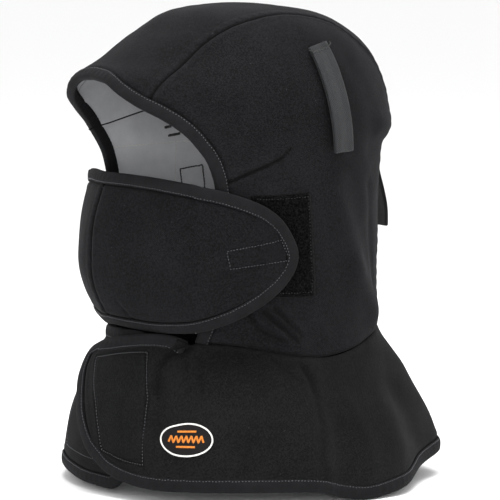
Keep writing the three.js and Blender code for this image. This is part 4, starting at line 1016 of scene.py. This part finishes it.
def webbing(name, dark, light):
    """Woven polypropylene webbing. The eye sees flat shiny cords in a tight chevron across the strap."""
    made, tree, shader = finish_of(name, Roughness=0.62, Sheen_Weight=0.03, Sheen_Roughness=0.4,
                                   Specular_IOR_Level=0.25)
    place = node(tree, "ShaderNodeTexCoord").outputs["Object"]
    cloth = node(tree, "ShaderNodeUVMap", uv_map="cloth_metres").outputs["UV"]
    parts = node(tree, "ShaderNodeSeparateXYZ", {"Vector": cloth})
    cords = node(tree, "ShaderNodeMath", {0: parts.outputs["Y"], 1: 2 * math.pi / (WEBBING_CORD * MM)},
                 operation="MULTIPLY")
    cords = node(tree, "ShaderNodeMath", {0: cords.outputs[0]}, operation="SINE")
    bent = node(tree, "ShaderNodeMath", {0: parts.outputs["Y"], 1: CHEVRON * MM}, operation="PINGPONG")
    shift = node(tree, "ShaderNodeMath", {0: parts.outputs["X"], 1: bent.outputs[0]}, operation="ADD")
    picks = node(tree, "ShaderNodeMath", {0: shift.outputs[0], 1: 2 * math.pi / (WEBBING_PICK * MM)},
                 operation="MULTIPLY")
    picks = node(tree, "ShaderNodeMath", {0: picks.outputs[0]}, operation="SINE")
    weave = node(tree, "ShaderNodeMath", {0: cords.outputs[0], 1: 0.35, 2: picks.outputs[0]},
                 operation="MULTIPLY_ADD")
    cloud = node(tree, "ShaderNodeTexNoise", {"Vector": place, "Scale": 180, "Detail": 5})
    grain = node(tree, "ShaderNodeMath", {0: weave.outputs[0], 1: 0.5, 2: cloud.outputs["Fac"]},
                 operation="MULTIPLY_ADD", use_clamp=True)
    tone = node(tree, "ShaderNodeMix", {0: grain.outputs[0], 6: linear(dark), 7: linear(light)},
                data_type="RGBA")
    tree.links.new(tone.outputs[2], shader.inputs["Base Color"])
    bump = node(tree, "ShaderNodeBump", {"Height": weave.outputs[0], "Strength": 0.8, "Distance": 0.3 * MM})
    tree.links.new(bump.outputs["Normal"], shader.inputs["Normal"])
    return made


grey_webbing = webbing("grey_polypropylene_webbing", "#161718", "#2d2e30")
black_webbing = webbing("black_polypropylene_webbing", "#0b0b0c", "#1d1d1f")


# Loose thread tails: where each starts beside the middle of the row, how far it
# strays sideways and up, and how high it arches.
TAILS = np.array([[-8.6, -3.4, 3.6, 1.0], [-7.9, 2.6, 5.2, 1.4], [8.4, 3.2, 2.6, 0.7]])


def strap(name, start, end, stand_off, bow, mirror, material, slot, cad_node, seed):
    """Webbing carried down the cloth, round its fold and back up: an oblong profile with soft edges,
    sewn on near its top end."""
    s = np.linspace(0, 1, 100)
    places = evenly(lambda t: polar(*start) * (1 - t[:, None]) + polar(*end) * t[:, None], on_hood, 99)
    places = places * [mirror, 1]
    down = on_hood(places[:, 0], places[:, 1])
    facing = unit(on_hood(places[:, 0], places[:, 1], 1) - down)
    along = unit(np.gradient(down, axis=0))
    across = unit(np.cross(along, facing))
    facing = unit(np.cross(across, along))
    lift = STRAP_ROOM + WEBBING_WIDTH * (stand_off * ease(s, 0.1, 1.15) + bow * np.sin(math.pi * s))
    draw = np.random.default_rng(seed)
    slack = 0.1 * np.sin(s * 7 + draw.uniform(0, 6)) * s
    apart = 0.25 + 0.5 * np.sin(math.pi * np.clip(s * 1.1, 0, 1)) + slack
    inner = down + facing * (lift + WEBBING / 2)[:, None]
    outer = down + facing * (lift + 1.5 * WEBBING + np.maximum(apart, 0.2))[:, None]
    turn = np.linspace(0, math.pi, 14)[1:-1, None]
    middle, half = (inner[-1] + outer[-1]) / 2, (outer[-1] - inner[-1]) / 2
    bend = middle + half * -np.cos(turn) + along[-1] * np.linalg.norm(half) * np.sin(turn) * 1.3
    path = np.concatenate([outer, bend[::-1], inner[::-1]])
    side = np.concatenate([across, np.tile(across[-1], (len(bend), 1)), across[::-1]])
    way = unit(np.gradient(path, axis=0))
    thick = unit(np.cross(way, side))
    x = np.linspace(-1, 1, 17)
    edge = np.sqrt(1 - np.clip(((np.abs(x) - 1) * WEBBING_WIDTH / 2 + SOFT_EDGE) / SOFT_EDGE, 0, 0.98) ** 2)
    run = spans(path, 0)[:, None]
    selvage = 0.1 * ripple(run, WEBBING_PICK) * (np.abs(x) > 0.9)
    rise = WEBBING / 2 * edge * 0.95 + 0.05 * ripple(run, WEBBING_PICK, np.abs(x) * 9)
    flat = path[:, None] + side[:, None] * (x * WEBBING_WIDTH / 2 + np.sign(x) * selvage)[..., None]
    high = thick[:, None] * rise[..., None]
    profile = np.concatenate([flat + high, (flat - high)[:, ::-1]], 1)
    new_piece(name, tube_body(profile), material, [cad_node])
    k = int(5.2 / (run[len(s) - 1, 0] / (len(s) - 1)))
    near_top = outer[k] + facing[k] * (WEBBING / 2 + 0.1)
    reach = np.linspace(-0.46, 0.46, 40)[:, None] * WEBBING_WIDTH
    row = (near_top + across[k] * reach, np.tile(facing[k], (40, 1)))
    sewn = stitch_body(*row, 2.4, 2.0, 0.32, seed)
    t = np.linspace(0, 1, 9)[None, :, None]
    beside_row, sideways, upwards, arch = TAILS.T[:, :, None]
    root = near_top + across[k] * beside_row
    sway = across[k] * sideways - along[k] * upwards
    tails = root[:, None] + sway[:, None] * t + facing[k] * 0.8 * np.sin(math.pi * t) * arch[..., None]
    tails = tails + across[k] * 0.7 * np.sin(t * 8)
    loose = thread_body(tails, facing[k] + 0 * tails, 0.2, 1, sides=4)
    new_piece(name + "_stitches", joined([sewn, loose]), black_thread)


SIDE_STRAP = ((69, 2.74), (64.5, 5.47), 0.16, 0)
strap("side_webbing_left", *SIDE_STRAP, 1, grey_webbing, "grey_webbing", "side_strap_left", 61)
strap("side_webbing_right", *SIDE_STRAP, -1, grey_webbing, "grey_webbing", "side_strap_right", 62)
strap("rear_webbing", (0, 6), (0, 7.4), 0.7, 0.15, 1, black_webbing, "black_webbing", "rear_strap", 63)

# Cape: flared twill over neck and shoulders, cut in one with two front flaps,
# the near one lapping over the far one. It is gathered into the neck seam and
# falls in soft folds, with a box of stitching on each flap over a fastening.
CAPE_DROP, CAPE_REACH = 94, 146
# How wide a binding stands open round its edge, and how many degrees the cloth
# ends short of the binding's fold.
BINDING_OPEN, EDGE_TUCK = 0.7, 0.7
LAP = 2 * (GAP + BINDING_CLOTH + BINDING_OPEN) + SHELL + 1.6
HEM = table("turn reach drop", [
    [-240, 0.85, 1], [-205, 0.855, 1], [-180, 0.87, 0.985], [-165, 0.885, 0.955], [-150, 0.905, 0.935],
    [-120, 0.93, 0.96], [-90, 0.98, 1], [-60, 1, 0.98], [-30, 1.03, 0.9], [0, 1.05, 0.84], [22, 1.05, 0.84],
    [40, 0.995, 0.9], [62, 1.005, 0.98], [78, 1.01, 1.03], [87, 0.997, 0.995], [95, 0.985, 0.94],
    [110, 0.96, 0.93], [135, 0.92, 0.935], [147, 0.9, 0.933], [157, 0.88, 0.905], [167, 0.87, 0.84],
    [176, 0.88, 0.785], [190, 0.885, 0.76], [240, 0.885, 0.76],
])
NEAR_EDGE = table("share turn", [
    [0, 186], [0.09, 195], [0.2, 194.5], [0.36, 189.5], [0.54, 184.5], [0.73, 180.5], [0.91, 174.5], [1, 167],
])
FAR_EDGE = table("share turn", [[0, -196], [0.09, -203], [0.3, -205], [0.65, -204], [0.91, -199], [1, -194]])
# How far the flap tops rise above the neck seam, as a share of the drop.
FLAP_RISE = table("turn rise", [
    [-240, 0.06], [-205, 0.085], [-190, 0.1], [-168, 0.098], [-160, 0.074], [-152, 0.06],
    [-146, 0.042], [-141, 0.006], [-138.5, 0], [138.5, 0], [141, 0.015], [146, 0.055], [152, 0.075],
    [160, 0.08], [172, 0.058], [184, 0.018], [195, 0], [240, 0],
])
# Folds: turns at neck and hem, where they start and end, width in degrees and
# height in millimetres. The last rows are shallow drags that only show close.
CAPE_FOLDS = table("top hem start end width height", [
    [84, 96, 0.02, 1.4, 9, 2.0], [76, 86, 0.05, 1.4, 6.5, -5.3], [14, 24, 0.02, 1.4, 8, 3.7],
    [48, 64, 0.2, 1.3, 8, 2.6], [34, 44, 0.1, 1.3, 8, -2.6], [112, 112, 0.1, 1.4, 9, -1.2],
    [130, 130, 0.15, 0.7, 6, -1.8], [148, 148, 0.1, 0.7, 5, -2.0], [-40, -48, 0.05, 1.4, 9, -3.2],
    [-84, -92, 0.05, 1.4, 9, -2.9], [104, 101, 0.0, 0.8, 2.4, 0.7], [120, 124, 0.0, 0.75, 2.6, 0.8],
    [138, 139, 0.02, 0.8, 2.2, 0.8], [66, 74, 0.0, 0.9, 2.6, 0.9], [152, 151, 0.0, 0.6, 2, 0.7],
])


def cape_bare(degrees, share):
    """Cape cloth: upright above the neck seam, and below it a flare out to the hem that bulges more in
    front, plus its folds."""
    turn = np.radians(degrees)
    neck_level = np.full(np.shape(turn), float(NECK_LEVEL))
    neck_radius = hood_radius(turn, neck_level)
    hem = smooth(HEM["turn"], HEM["reach"], degrees) * CAPE_REACH
    seam = hood_height(turn, neck_level) - 2 * GAP
    top = seam + smooth(FLAP_RISE["turn"], FLAP_RISE["rise"], degrees) * CAPE_DROP
    bottom = WALL - HOOD_HEIGHT - smooth(HEM["turn"], HEM["drop"], degrees) * CAPE_DROP
    z = top + (bottom - top) * share
    v = np.clip((seam - z) / (seam - bottom), 0, 1)
    flare = (ease(v**0.93, 0, 1) + 1 - (1 - v) ** 1.8) / 2
    bulge = 1 - (1 - v) ** 2.4
    ahead = np.maximum(-np.cos(turn), 0) ** 2
    out = flare + (bulge - flare) * ahead
    lap = LAP / 2 * np.sign(degrees) * ease(np.abs(degrees), 112, 152)
    fold = 0
    for top_turn, hem_turn, start, end, width, height in zip(*CAPE_FOLDS.values()):
        away = degrees - (top_turn + (hem_turn - top_turn) * v)
        fade = ease(v, start, start + 0.35) * (1 - ease(v, end - 0.3, end))
        fold = fold + height * bell(away, width) * fade
    return around(turn, neck_radius + (hem - neck_radius) * out + lap + fold, z)


on_cape = laid_on(cape_bare, 0.1, 2e-3, 23, 0.006, 0.994)
cape_down = 0.985 * crowded(62, CROWD)
# Columns stand three times closer on the near flap, where the stitched box shows.
even_over = np.linspace(0, 1, 2000)
column_run = np.cumsum(1 + 2.2 * ease(even_over, 0.84, 0.89))
cape_across = np.interp(np.linspace(column_run[0], column_run[-1], 430), column_run, even_over)
cape_share, cape_over = np.meshgrid(cape_down, cape_across, indexing="ij")
cape_far = smooth(FAR_EDGE["share"], FAR_EDGE["turn"], cape_share) + EDGE_TUCK
cape_near = smooth(NEAR_EDGE["share"], NEAR_EDGE["turn"], cape_share) - EDGE_TUCK
cape_places = np.stack([cape_far + (cape_near - cape_far) * cape_over, cape_share], -1)
cape_height, cape_wear_and_shade = panel_heights(cape_places, ["top"], on_cape, ["bottom", "left", "right"], "top")
# Boxes of stitching on the flaps, as turn and share, and the drags beside
# them: turns and shares, then width and depth in millimetres.
NEAR_BOX = [(184, 0.15), (168.5, 0.125), (156.5, 0.12), (151.2, 0.4), (149.5, 0.85), (159, 0.855),
            (167.8, 0.855), (173.5, 0.5), (184, 0.15)]
FAR_BOX = [(-186, 0.2), (-158, 0.14), (-156, 0.84), (-190, 0.84), (-186, 0.2)]
CAPE_DRAGS = [
    ([(139, 0.02), (147, 0.12), (149, 0.2), (148, 0.36)], 3.4, 3.2), ([(146, 0.3), (145, 0.62)], 5, 1.1),
    ([(134, 0.1), (132.5, 0.22), (130.5, 0.36)], 4, 1.6),
    ([(141, 0.03), (139, 0.14), (136, 0.3)], 4, 1.3),
    ([(84.5, 0.1), (83.5, 0.17), (84.5, 0.3), (87.5, 0.47), (92, 0.76), (92.5, 1)], 4.5, 3.0),
    ([(101, 0.06), (91, 0.17), (80, 0.33)], 2.2, 0.9), ([(120, 0.02), (112, 0.2), (108, 0.32)], 2.2, 0.8),
    ([(136, 0.86), (134, 0.97)], 2, 0.8), ([(97, 0.7), (99, 0.95)], 2, 0.8),
]
cape_points = on_cape(cape_places[..., 0], cape_places[..., 1])
for box_places in (NEAR_BOX, FAR_BOX):
    box_line = on_cape(*np.array(box_places, float).T)
    cape_height = cape_height + crease(cape_points, box_line, 1.5, -1.3, 0)
    cape_height = cape_height + crease(cape_points, box_line, 4, 0.7, 0)
    # Painted shade: a dark line along each stitched box.
    cape_wear_and_shade = cape_wear_and_shade - crease(cape_points, box_line, 1.4, 1.2, 0)
for drag_places, drag_width, drag_depth in CAPE_DRAGS:
    drag = on_cape(*np.array(drag_places, float).T)
    cape_height = cape_height - crease(cape_points, drag, drag_width, drag_depth, 0.5)
    cape_height = cape_height + crease(cape_points, drag, drag_width * 2.4, drag_depth * 0.5, 0.5)
    # Painted shade in each drag.
    cape_wear_and_shade = cape_wear_and_shade - crease(cape_points, drag, drag_width, 0.4 * drag_depth, 0.5)
cape_twill = twill("brushed_black_cape_twill", "#050505", "#151516", 0.02)
cape_body = cloth_body(cape_places, on_cape, cape_height, np.minimum(cape_height * 0.5, 0) - SHELL, cape_wear_and_shade)
cape = new_piece("cape_cloth", cape_body, cape_twill, ["cape"])

# Neck seam allowance: the raw edges of hood and cape, twill like both, turned up
# together inside and held there by the stitches of the neck seam.
allowance_turn = np.linspace(-THROAT_TURN, THROAT_TURN, 420)
allowance = on_hood(*polar(allowance_turn, NECK_LEVEL).T, -2.2)
allowance_facing = unit(allowance - [0, HOOD_CENTRE, 0])
allowance_body = thread_body(allowance[None], allowance_facing[None], 1.35, 1)
new_piece("neck_seam_allowance", allowance_body, hood_twill)

# Cape binding: the same tape round the free edges of the cape, from throat
# down one flap, along the hem and up the other, with its row of stitches.
rise_to_throat = np.linspace(THROAT_TURN + 3.5, 186, 60)
edge_down, hem_turns = np.linspace(0, 1, 90), np.linspace(167, -194, 900)
cape_outline = np.concatenate([
    np.stack([rise_to_throat, 0 * rise_to_throat], -1),
    np.stack([smooth(NEAR_EDGE["share"], NEAR_EDGE["turn"], edge_down), edge_down], -1)[1:],
    np.stack([hem_turns, 1 + 0 * hem_turns], -1)[1:],
    np.stack([smooth(FAR_EDGE["share"], FAR_EDGE["turn"], edge_down), edge_down], -1)[-2::-1],
    np.stack([-rise_to_throat, 0 * rise_to_throat], -1)[-2::-1],
])


def even_steps(outline, on, step, closed):
    """The same outline in equal steps of cloth, its corners eased by averaging neighbours."""
    run = spans(on(*outline.T), 0)
    count = int(run[-1] / step)
    at = np.linspace(0, run[-1], count + 1)
    places = np.stack([np.interp(at, run, outline[:, k]) for k in (0, 1)], -1)
    if closed:
        places = places[:-1]
        wide = np.concatenate([places[-3:], places, places[:3]])
    else:
        wide = np.concatenate([np.repeat(places[:1], 3, 0), places, np.repeat(places[-1:], 3, 0)])
    eased = sum(wide[k:k + len(places)] for k in range(7)) / 7
    if not closed:
        eased[[0, -1]] = places[[0, -1]]
    return eased


TAPE_STEP = 1.9
cape_edge = even_steps(cape_outline, on_cape, TAPE_STEP, False)
cape_tape, cape_sewn = bound_edge("cape_binding_tape", on_cape, cape_edge, SHELL, False, 1,
                                  ["cape_binding"], 43, 2.6)
box_rows = [row_on(on_cape, *between(box_places, 500).T, 0.25) for box_places in (NEAR_BOX, FAR_BOX)]
stitching("flap_box_stitches", box_rows, grey_thread, seed=71)

# Badge: an oval of embroidered cloth on the near flap with an overlocked white
# rim. Its field is black satin stitch and carries a plain orange zigzag
# between two short bars.
BADGE_TURN, BADGE_SHARE = 135, 0.645
BADGE_LENGTH, BADGE_HEIGHT, BADGE_BORDER, BADGE_CLOTH = 40, 25, 1.3, 0.8
badge_middle = on_cape(BADGE_TURN, BADGE_SHARE)
badge_wide = np.linalg.norm(on_cape(BADGE_TURN + 1, BADGE_SHARE) - badge_middle)
badge_tall = np.linalg.norm(on_cape(BADGE_TURN, BADGE_SHARE + 0.01) - badge_middle) / 0.01


def on_badge(x, y, height):
    """Point on the cape at millimetres ahead of and below the middle of the badge."""
    return on_cape(BADGE_TURN + x / badge_wide, BADGE_SHARE + y / badge_tall, height)


SATIN_THREAD = 0.7


def satin(name, dark, light, run_deg):
    """Rayon satin stitch. The eye sees fine parallel threads with a soft silky light along them."""
    made, tree, shader = finish_of(name, Roughness=0.6, Specular_IOR_Level=0.15)
    place = node(tree, "ShaderNodeTexCoord").outputs["Object"]
    cloth = node(tree, "ShaderNodeUVMap", uv_map="cloth_metres").outputs["UV"]
    turned = node(tree, "ShaderNodeMapping", {"Vector": cloth, "Rotation": (0, 0, math.radians(run_deg))})
    parts = node(tree, "ShaderNodeSeparateXYZ", {"Vector": turned.outputs["Vector"]})
    lines = node(tree, "ShaderNodeMath", {0: parts.outputs["X"], 1: 2 * math.pi / (SATIN_THREAD * MM)},
                 operation="MULTIPLY")
    lines = node(tree, "ShaderNodeMath", {0: lines.outputs[0]}, operation="SINE")
    cloud = node(tree, "ShaderNodeTexNoise", {"Vector": place, "Scale": 600, "Detail": 3})
    grain = node(tree, "ShaderNodeMath", {0: lines.outputs[0], 1: 0.3, 2: cloud.outputs["Fac"]},
                 operation="MULTIPLY_ADD", use_clamp=True)
    tone = node(tree, "ShaderNodeMix", {0: grain.outputs[0], 6: linear(dark), 7: linear(light)},
                data_type="RGBA")
    tree.links.new(tone.outputs[2], shader.inputs["Base Color"])
    bump = node(tree, "ShaderNodeBump", {"Height": lines.outputs[0], "Strength": 0.5, "Distance": 0.1 * MM})
    tree.links.new(bump.outputs["Normal"], shader.inputs["Normal"])
    return made


black_satin = satin("black_satin_stitch", "#050303", "#0e090a", 40)
white_satin = satin("white_overlock_thread", "#c9c8c4", "#f4f3ef", 0)
orange_satin = satin("orange_satin_stitch", "#a85a22", "#dc8a38", 0)

field_angle = np.linspace(0.03, math.pi - 0.03, 60)[:, None]
field_down = np.linspace(1, -1, 36)[None, :]
field_x = (BADGE_LENGTH / 2 - BADGE_BORDER * 0.8) * np.cos(field_angle) + 0 * field_down
field_y = (BADGE_HEIGHT / 2 - BADGE_BORDER * 0.8) * np.sin(field_angle) * field_down
field_places = np.stack([BADGE_TURN + field_x / badge_wide, BADGE_SHARE + field_y / badge_tall], -1)
field_body = cloth_body(field_places, on_cape, GAP + BADGE_CLOTH, GAP, 0 * field_x)
new_piece("badge_black_field", field_body, black_satin, ["badge_field"])

OVERLOCKS = 118
rim_turn = np.linspace(0, 2 * math.pi, 720, endpoint=False)[:, None]
rim_round = np.linspace(0, 2 * math.pi, 12, endpoint=False)[None, :]
rim_ridge = 1 + 0.16 * np.sin(rim_turn * OVERLOCKS)
rim_out = BADGE_BORDER * (-0.5 + 0.5 * np.cos(rim_round) * rim_ridge)
rim_x = (BADGE_LENGTH / 2 + rim_out) * np.cos(rim_turn)
rim_y = (BADGE_HEIGHT / 2 + rim_out) * np.sin(rim_turn)
rim_height = GAP + 0.62 + 0.62 * np.sin(rim_round) * rim_ridge
rim_body = tube_body(on_badge(rim_x, rim_y, rim_height), True)
new_piece("badge_overlocked_rim", rim_body, white_satin, ["badge_border"])

PEAKS = 7
zig_x = np.linspace(-13, 13, 2 * PEAKS + 1)
zig_y = np.where(np.arange(2 * PEAKS + 1) % 2, -2.9, 1.7)
motif_rows = [between(np.stack([zig_x, zig_y], -1), 260), between([(-7, 5), (7, 5)], 60),
              between([(-7, -6.2), (7, -6.2)], 60)]
motif_bodies = []
for motif_row in motif_rows:
    motif_x, motif_y = motif_row.T[:, :, None]
    way = unit(np.gradient(motif_row, axis=0))
    motif_round = np.linspace(0, 2 * math.pi, 10, endpoint=False)[None, :]
    swell = 1 + 0.12 * np.sin(np.arange(len(motif_row)) * 1.9)[:, None]
    off = 0.75 * np.cos(motif_round) * swell
    motif_height = GAP + BADGE_CLOTH + 0.05 + 0.4 * np.sin(motif_round) * swell
    motif_rings = on_badge(motif_x - way[:, 1:] * off, motif_y + way[:, :1] * off, motif_height)
    motif_bodies.append(tube_body(motif_rings))
new_piece("badge_orange_zigzag", joined(motif_bodies), orange_satin)

# Cheek guard: two shaped halves of the twill joined down the middle, doubled
# and pressed flat. It crosses mouth and nose and lies on both cheeks, where
# hook patches inside its rounded ends hold it. A stitched box shows their place.
GUARD_HEIGHT, GUARD_TOP, GUARD_REACH, GUARD_WIDTH, GUARD_CLOTH = 119.5, 119, 122, 194, 2
GUARD_SQUARE, GUARD_KEEL_POWER, GUARD_BOW = 3.7, 10, 11
GUARD_STAND = GUARD_CLOTH + GAP + BINDING_CLOTH + BINDING_OPEN + LOOP_PATCH + 3 * GAP
GUARD = table("share reach half keel", [
    [0, 0.725, 0.5, 0.135], [0.22, 0.785, 0.5, 0.165], [0.45, 0.82, 0.5, 0.172],
    [0.65, 0.82, 0.5, 0.17], [0.83, 0.78, 0.497, 0.155], [1, 0.68, 0.49, 0.125],
])
GUARD_OUTLINE = table("top_turn top bottom_turn bottom", [
    [180, 0.035, 180, 0.965], [168, 0.035, 168, 0.985], [154, 0.045, 154, 0.995], [140, 0.066, 139, 0.985],
    [129, 0.094, 128.5, 0.95], [120.5, 0.133, 120, 0.905], [112, 0.18, 112, 0.845],
    [103.5, 0.245, 105, 0.785], [97, 0.33, 98.5, 0.715], [93.2, 0.42, 93.7, 0.64],
])


def guard_bare(degrees, share):
    """Guard cloth: its own boxy ring ahead of the mouth, or the hood's ring with room for the patches."""
    turn = np.radians(degrees)
    z = WALL - GUARD_TOP - share * GUARD_HEIGHT
    reach = smooth(GUARD["share"], GUARD["reach"], share) * GUARD_REACH
    half = smooth(GUARD["share"], GUARD["half"], share) * GUARD_WIDTH
    keel = smooth(GUARD["share"], GUARD["keel"], share) * GUARD_REACH
    own = ring_radius(turn, reach, reach, half, GUARD_SQUARE, keel, GUARD_KEEL_POWER)
    free = ease(np.abs(180 - degrees), 50, 30)
    rest = hood_radius(turn, hood_level_at(turn, z)) + GUARD_STAND - free * GUARD_REACH * 0.4
    radius = (own + rest + np.hypot(own - rest, 1)) / 2
    return around(turn, radius, z)


on_guard = laid_on(guard_bare, 0.1, 2e-3, 37)
row_number = np.arange(len(GUARD_OUTLINE["top"]))


def guard_line(turns, heights):
    """Smooth outline through two columns of the table, from the middle seam to the rounded end."""
    last = row_number[-1]
    return lambda s: np.stack([smooth(row_number, GUARD_OUTLINE[c], s * last) for c in (turns, heights)], -1)


GUARD_COLS, GUARD_ROWS = 120, 90
top_line = guard_line("top_turn", "top")
bottom_line = guard_line("bottom_turn", "bottom")
guard_top = evenly(top_line, on_guard, GUARD_COLS, CROWD)
bottom_fine = bottom_line(np.linspace(0, 1, 2000))
upright = np.clip(guard_top[:, 0], bottom_fine[:, 0].min(), 180)
guard_bottom = np.stack([upright, np.interp(-upright, -bottom_fine[:, 0], bottom_fine[:, 1])], -1)
guard_bottom[-1] = bottom_fine[-1]
down_share = crowded(GUARD_ROWS + 1, CROWD)[:, None]
guard_seam = guard_top[0] + (guard_bottom[0] - guard_top[0]) * down_share
guard_end = guard_top[-1] + (guard_bottom[-1] - guard_top[-1]) * down_share
guard_end[:, :1] -= GUARD_BOW * down_share * (1 - down_share)
guard_near = filled(guard_top, guard_bottom, guard_seam, guard_end, on_guard)
guard_far = np.stack([360 - guard_near[..., 0], guard_near[..., 1]], -1)[:, ::-1]
# The box stitched over the hook patch, a slack line across the cheek, and a
# short dart at the lower front, as turn and share on the near half.
GUARD_BOX = [(122.5, 0.474), (99, 0.419), (95, 0.545), (121, 0.582), (122.5, 0.474)]
GUARD_CREASE = [(108.5, 0.566), (122.5, 0.624), (132, 0.662), (140, 0.69)]
GUARD_DART = [(164, 0.985), (167, 0.88), (169, 0.82)]
guard_twill = twill("brushed_black_guard_twill", "#060607", "#161618", 0.02)


def guard_half(places, seam, mirrored):
    """One half with its middle seam, the sewn box, the slack line and the dart."""
    bound = sorted({"top", "bottom", "left", "right"} - {seam})
    height, tone_and_shade = panel_heights(places, [seam], on_guard, bound)
    points = on_guard(places[..., 0], places[..., 1])

    def creased(rows, *measures):
        turns, shares = np.array(rows, float).T
        return crease(points, on_guard(360 - turns if mirrored else turns, shares), *measures)
    height = height + creased(GUARD_BOX, 1.3, -0.7, 0) + creased(GUARD_BOX, 4, 0.3, 0)
    height = height + creased(GUARD_CREASE, 2.6, -1.8, 0.4) + creased(GUARD_CREASE, 8, 1.3, 0.4)
    height = height + creased(GUARD_DART, 1.3, -1.3, 0.5)
    return cloth_body(places, on_guard, height, np.minimum(height * 0.5, 0) - GUARD_CLOTH, tone_and_shade)


near_guard = new_piece("guard_cloth_left", guard_half(guard_near, "left", False), guard_twill,
                       ["guard_panel_left"])
far_guard = new_piece("guard_cloth_right", guard_half(guard_far, "right", True), guard_twill,
                      ["guard_panel_right"])
outward_share = np.linspace(0, 1, 300)
half_round = np.concatenate([top_line(outward_share), guard_end[1:-1], bottom_line(outward_share[::-1])])
other_half = np.stack([360 - half_round[:, 0], half_round[:, 1]], -1)[::-1]
guard_edge = even_steps(np.concatenate([half_round, other_half[1:]]), on_guard, TAPE_STEP, True)
bound_edge("guard_binding_tape", on_guard, guard_edge, GUARD_CLOTH, True, -1, ["guard_binding"], 47)
box_turn, box_share = between(GUARD_BOX, 300).T
guard_rows = [row_on(on_guard, turns, box_share, 0.4) for turns in (box_turn, 360 - box_turn)]
stitching("guard_box_stitches", guard_rows, grey_thread, seed=81)

# Hook patches: stiff nylon hooks inside the ends of the guard. They show only
# as a dark layer at its edge, so the model's solids stay, in hook tape.
hook_tape, hook_tree, hook_shader = finish_of("black_nylon_hook_tape", Roughness=0.6,
                                              Base_Color=linear("#161618"))
# Rows of small stiff hooks, 1.4 mm apart, catch points of light.
hook_place = node(hook_tree, "ShaderNodeTexCoord").outputs["Object"]
hook_dots = node(hook_tree, "ShaderNodeTexVoronoi", {"Vector": hook_place, "Scale": 700, "Randomness": 0.3})
hook_tone = node(hook_tree, "ShaderNodeMix", {0: hook_dots.outputs["Distance"], 6: linear("#101011"),
                                              7: linear("#2b2b2d")}, data_type="RGBA")
hook_tree.links.new(hook_tone.outputs[2], hook_shader.inputs["Base Color"])
hook_bump = node(hook_tree, "ShaderNodeBump", {"Height": hook_dots.outputs["Distance"], "Distance": 0.3 * MM})
hook_tree.links.new(hook_bump.outputs["Normal"], hook_shader.inputs["Normal"])
for hook_node in ("hook_patch_left", "hook_patch_right"):
    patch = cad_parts[hook_node]
    for patch_slot in patch.material_slots:
        patch_slot.material = hook_tape
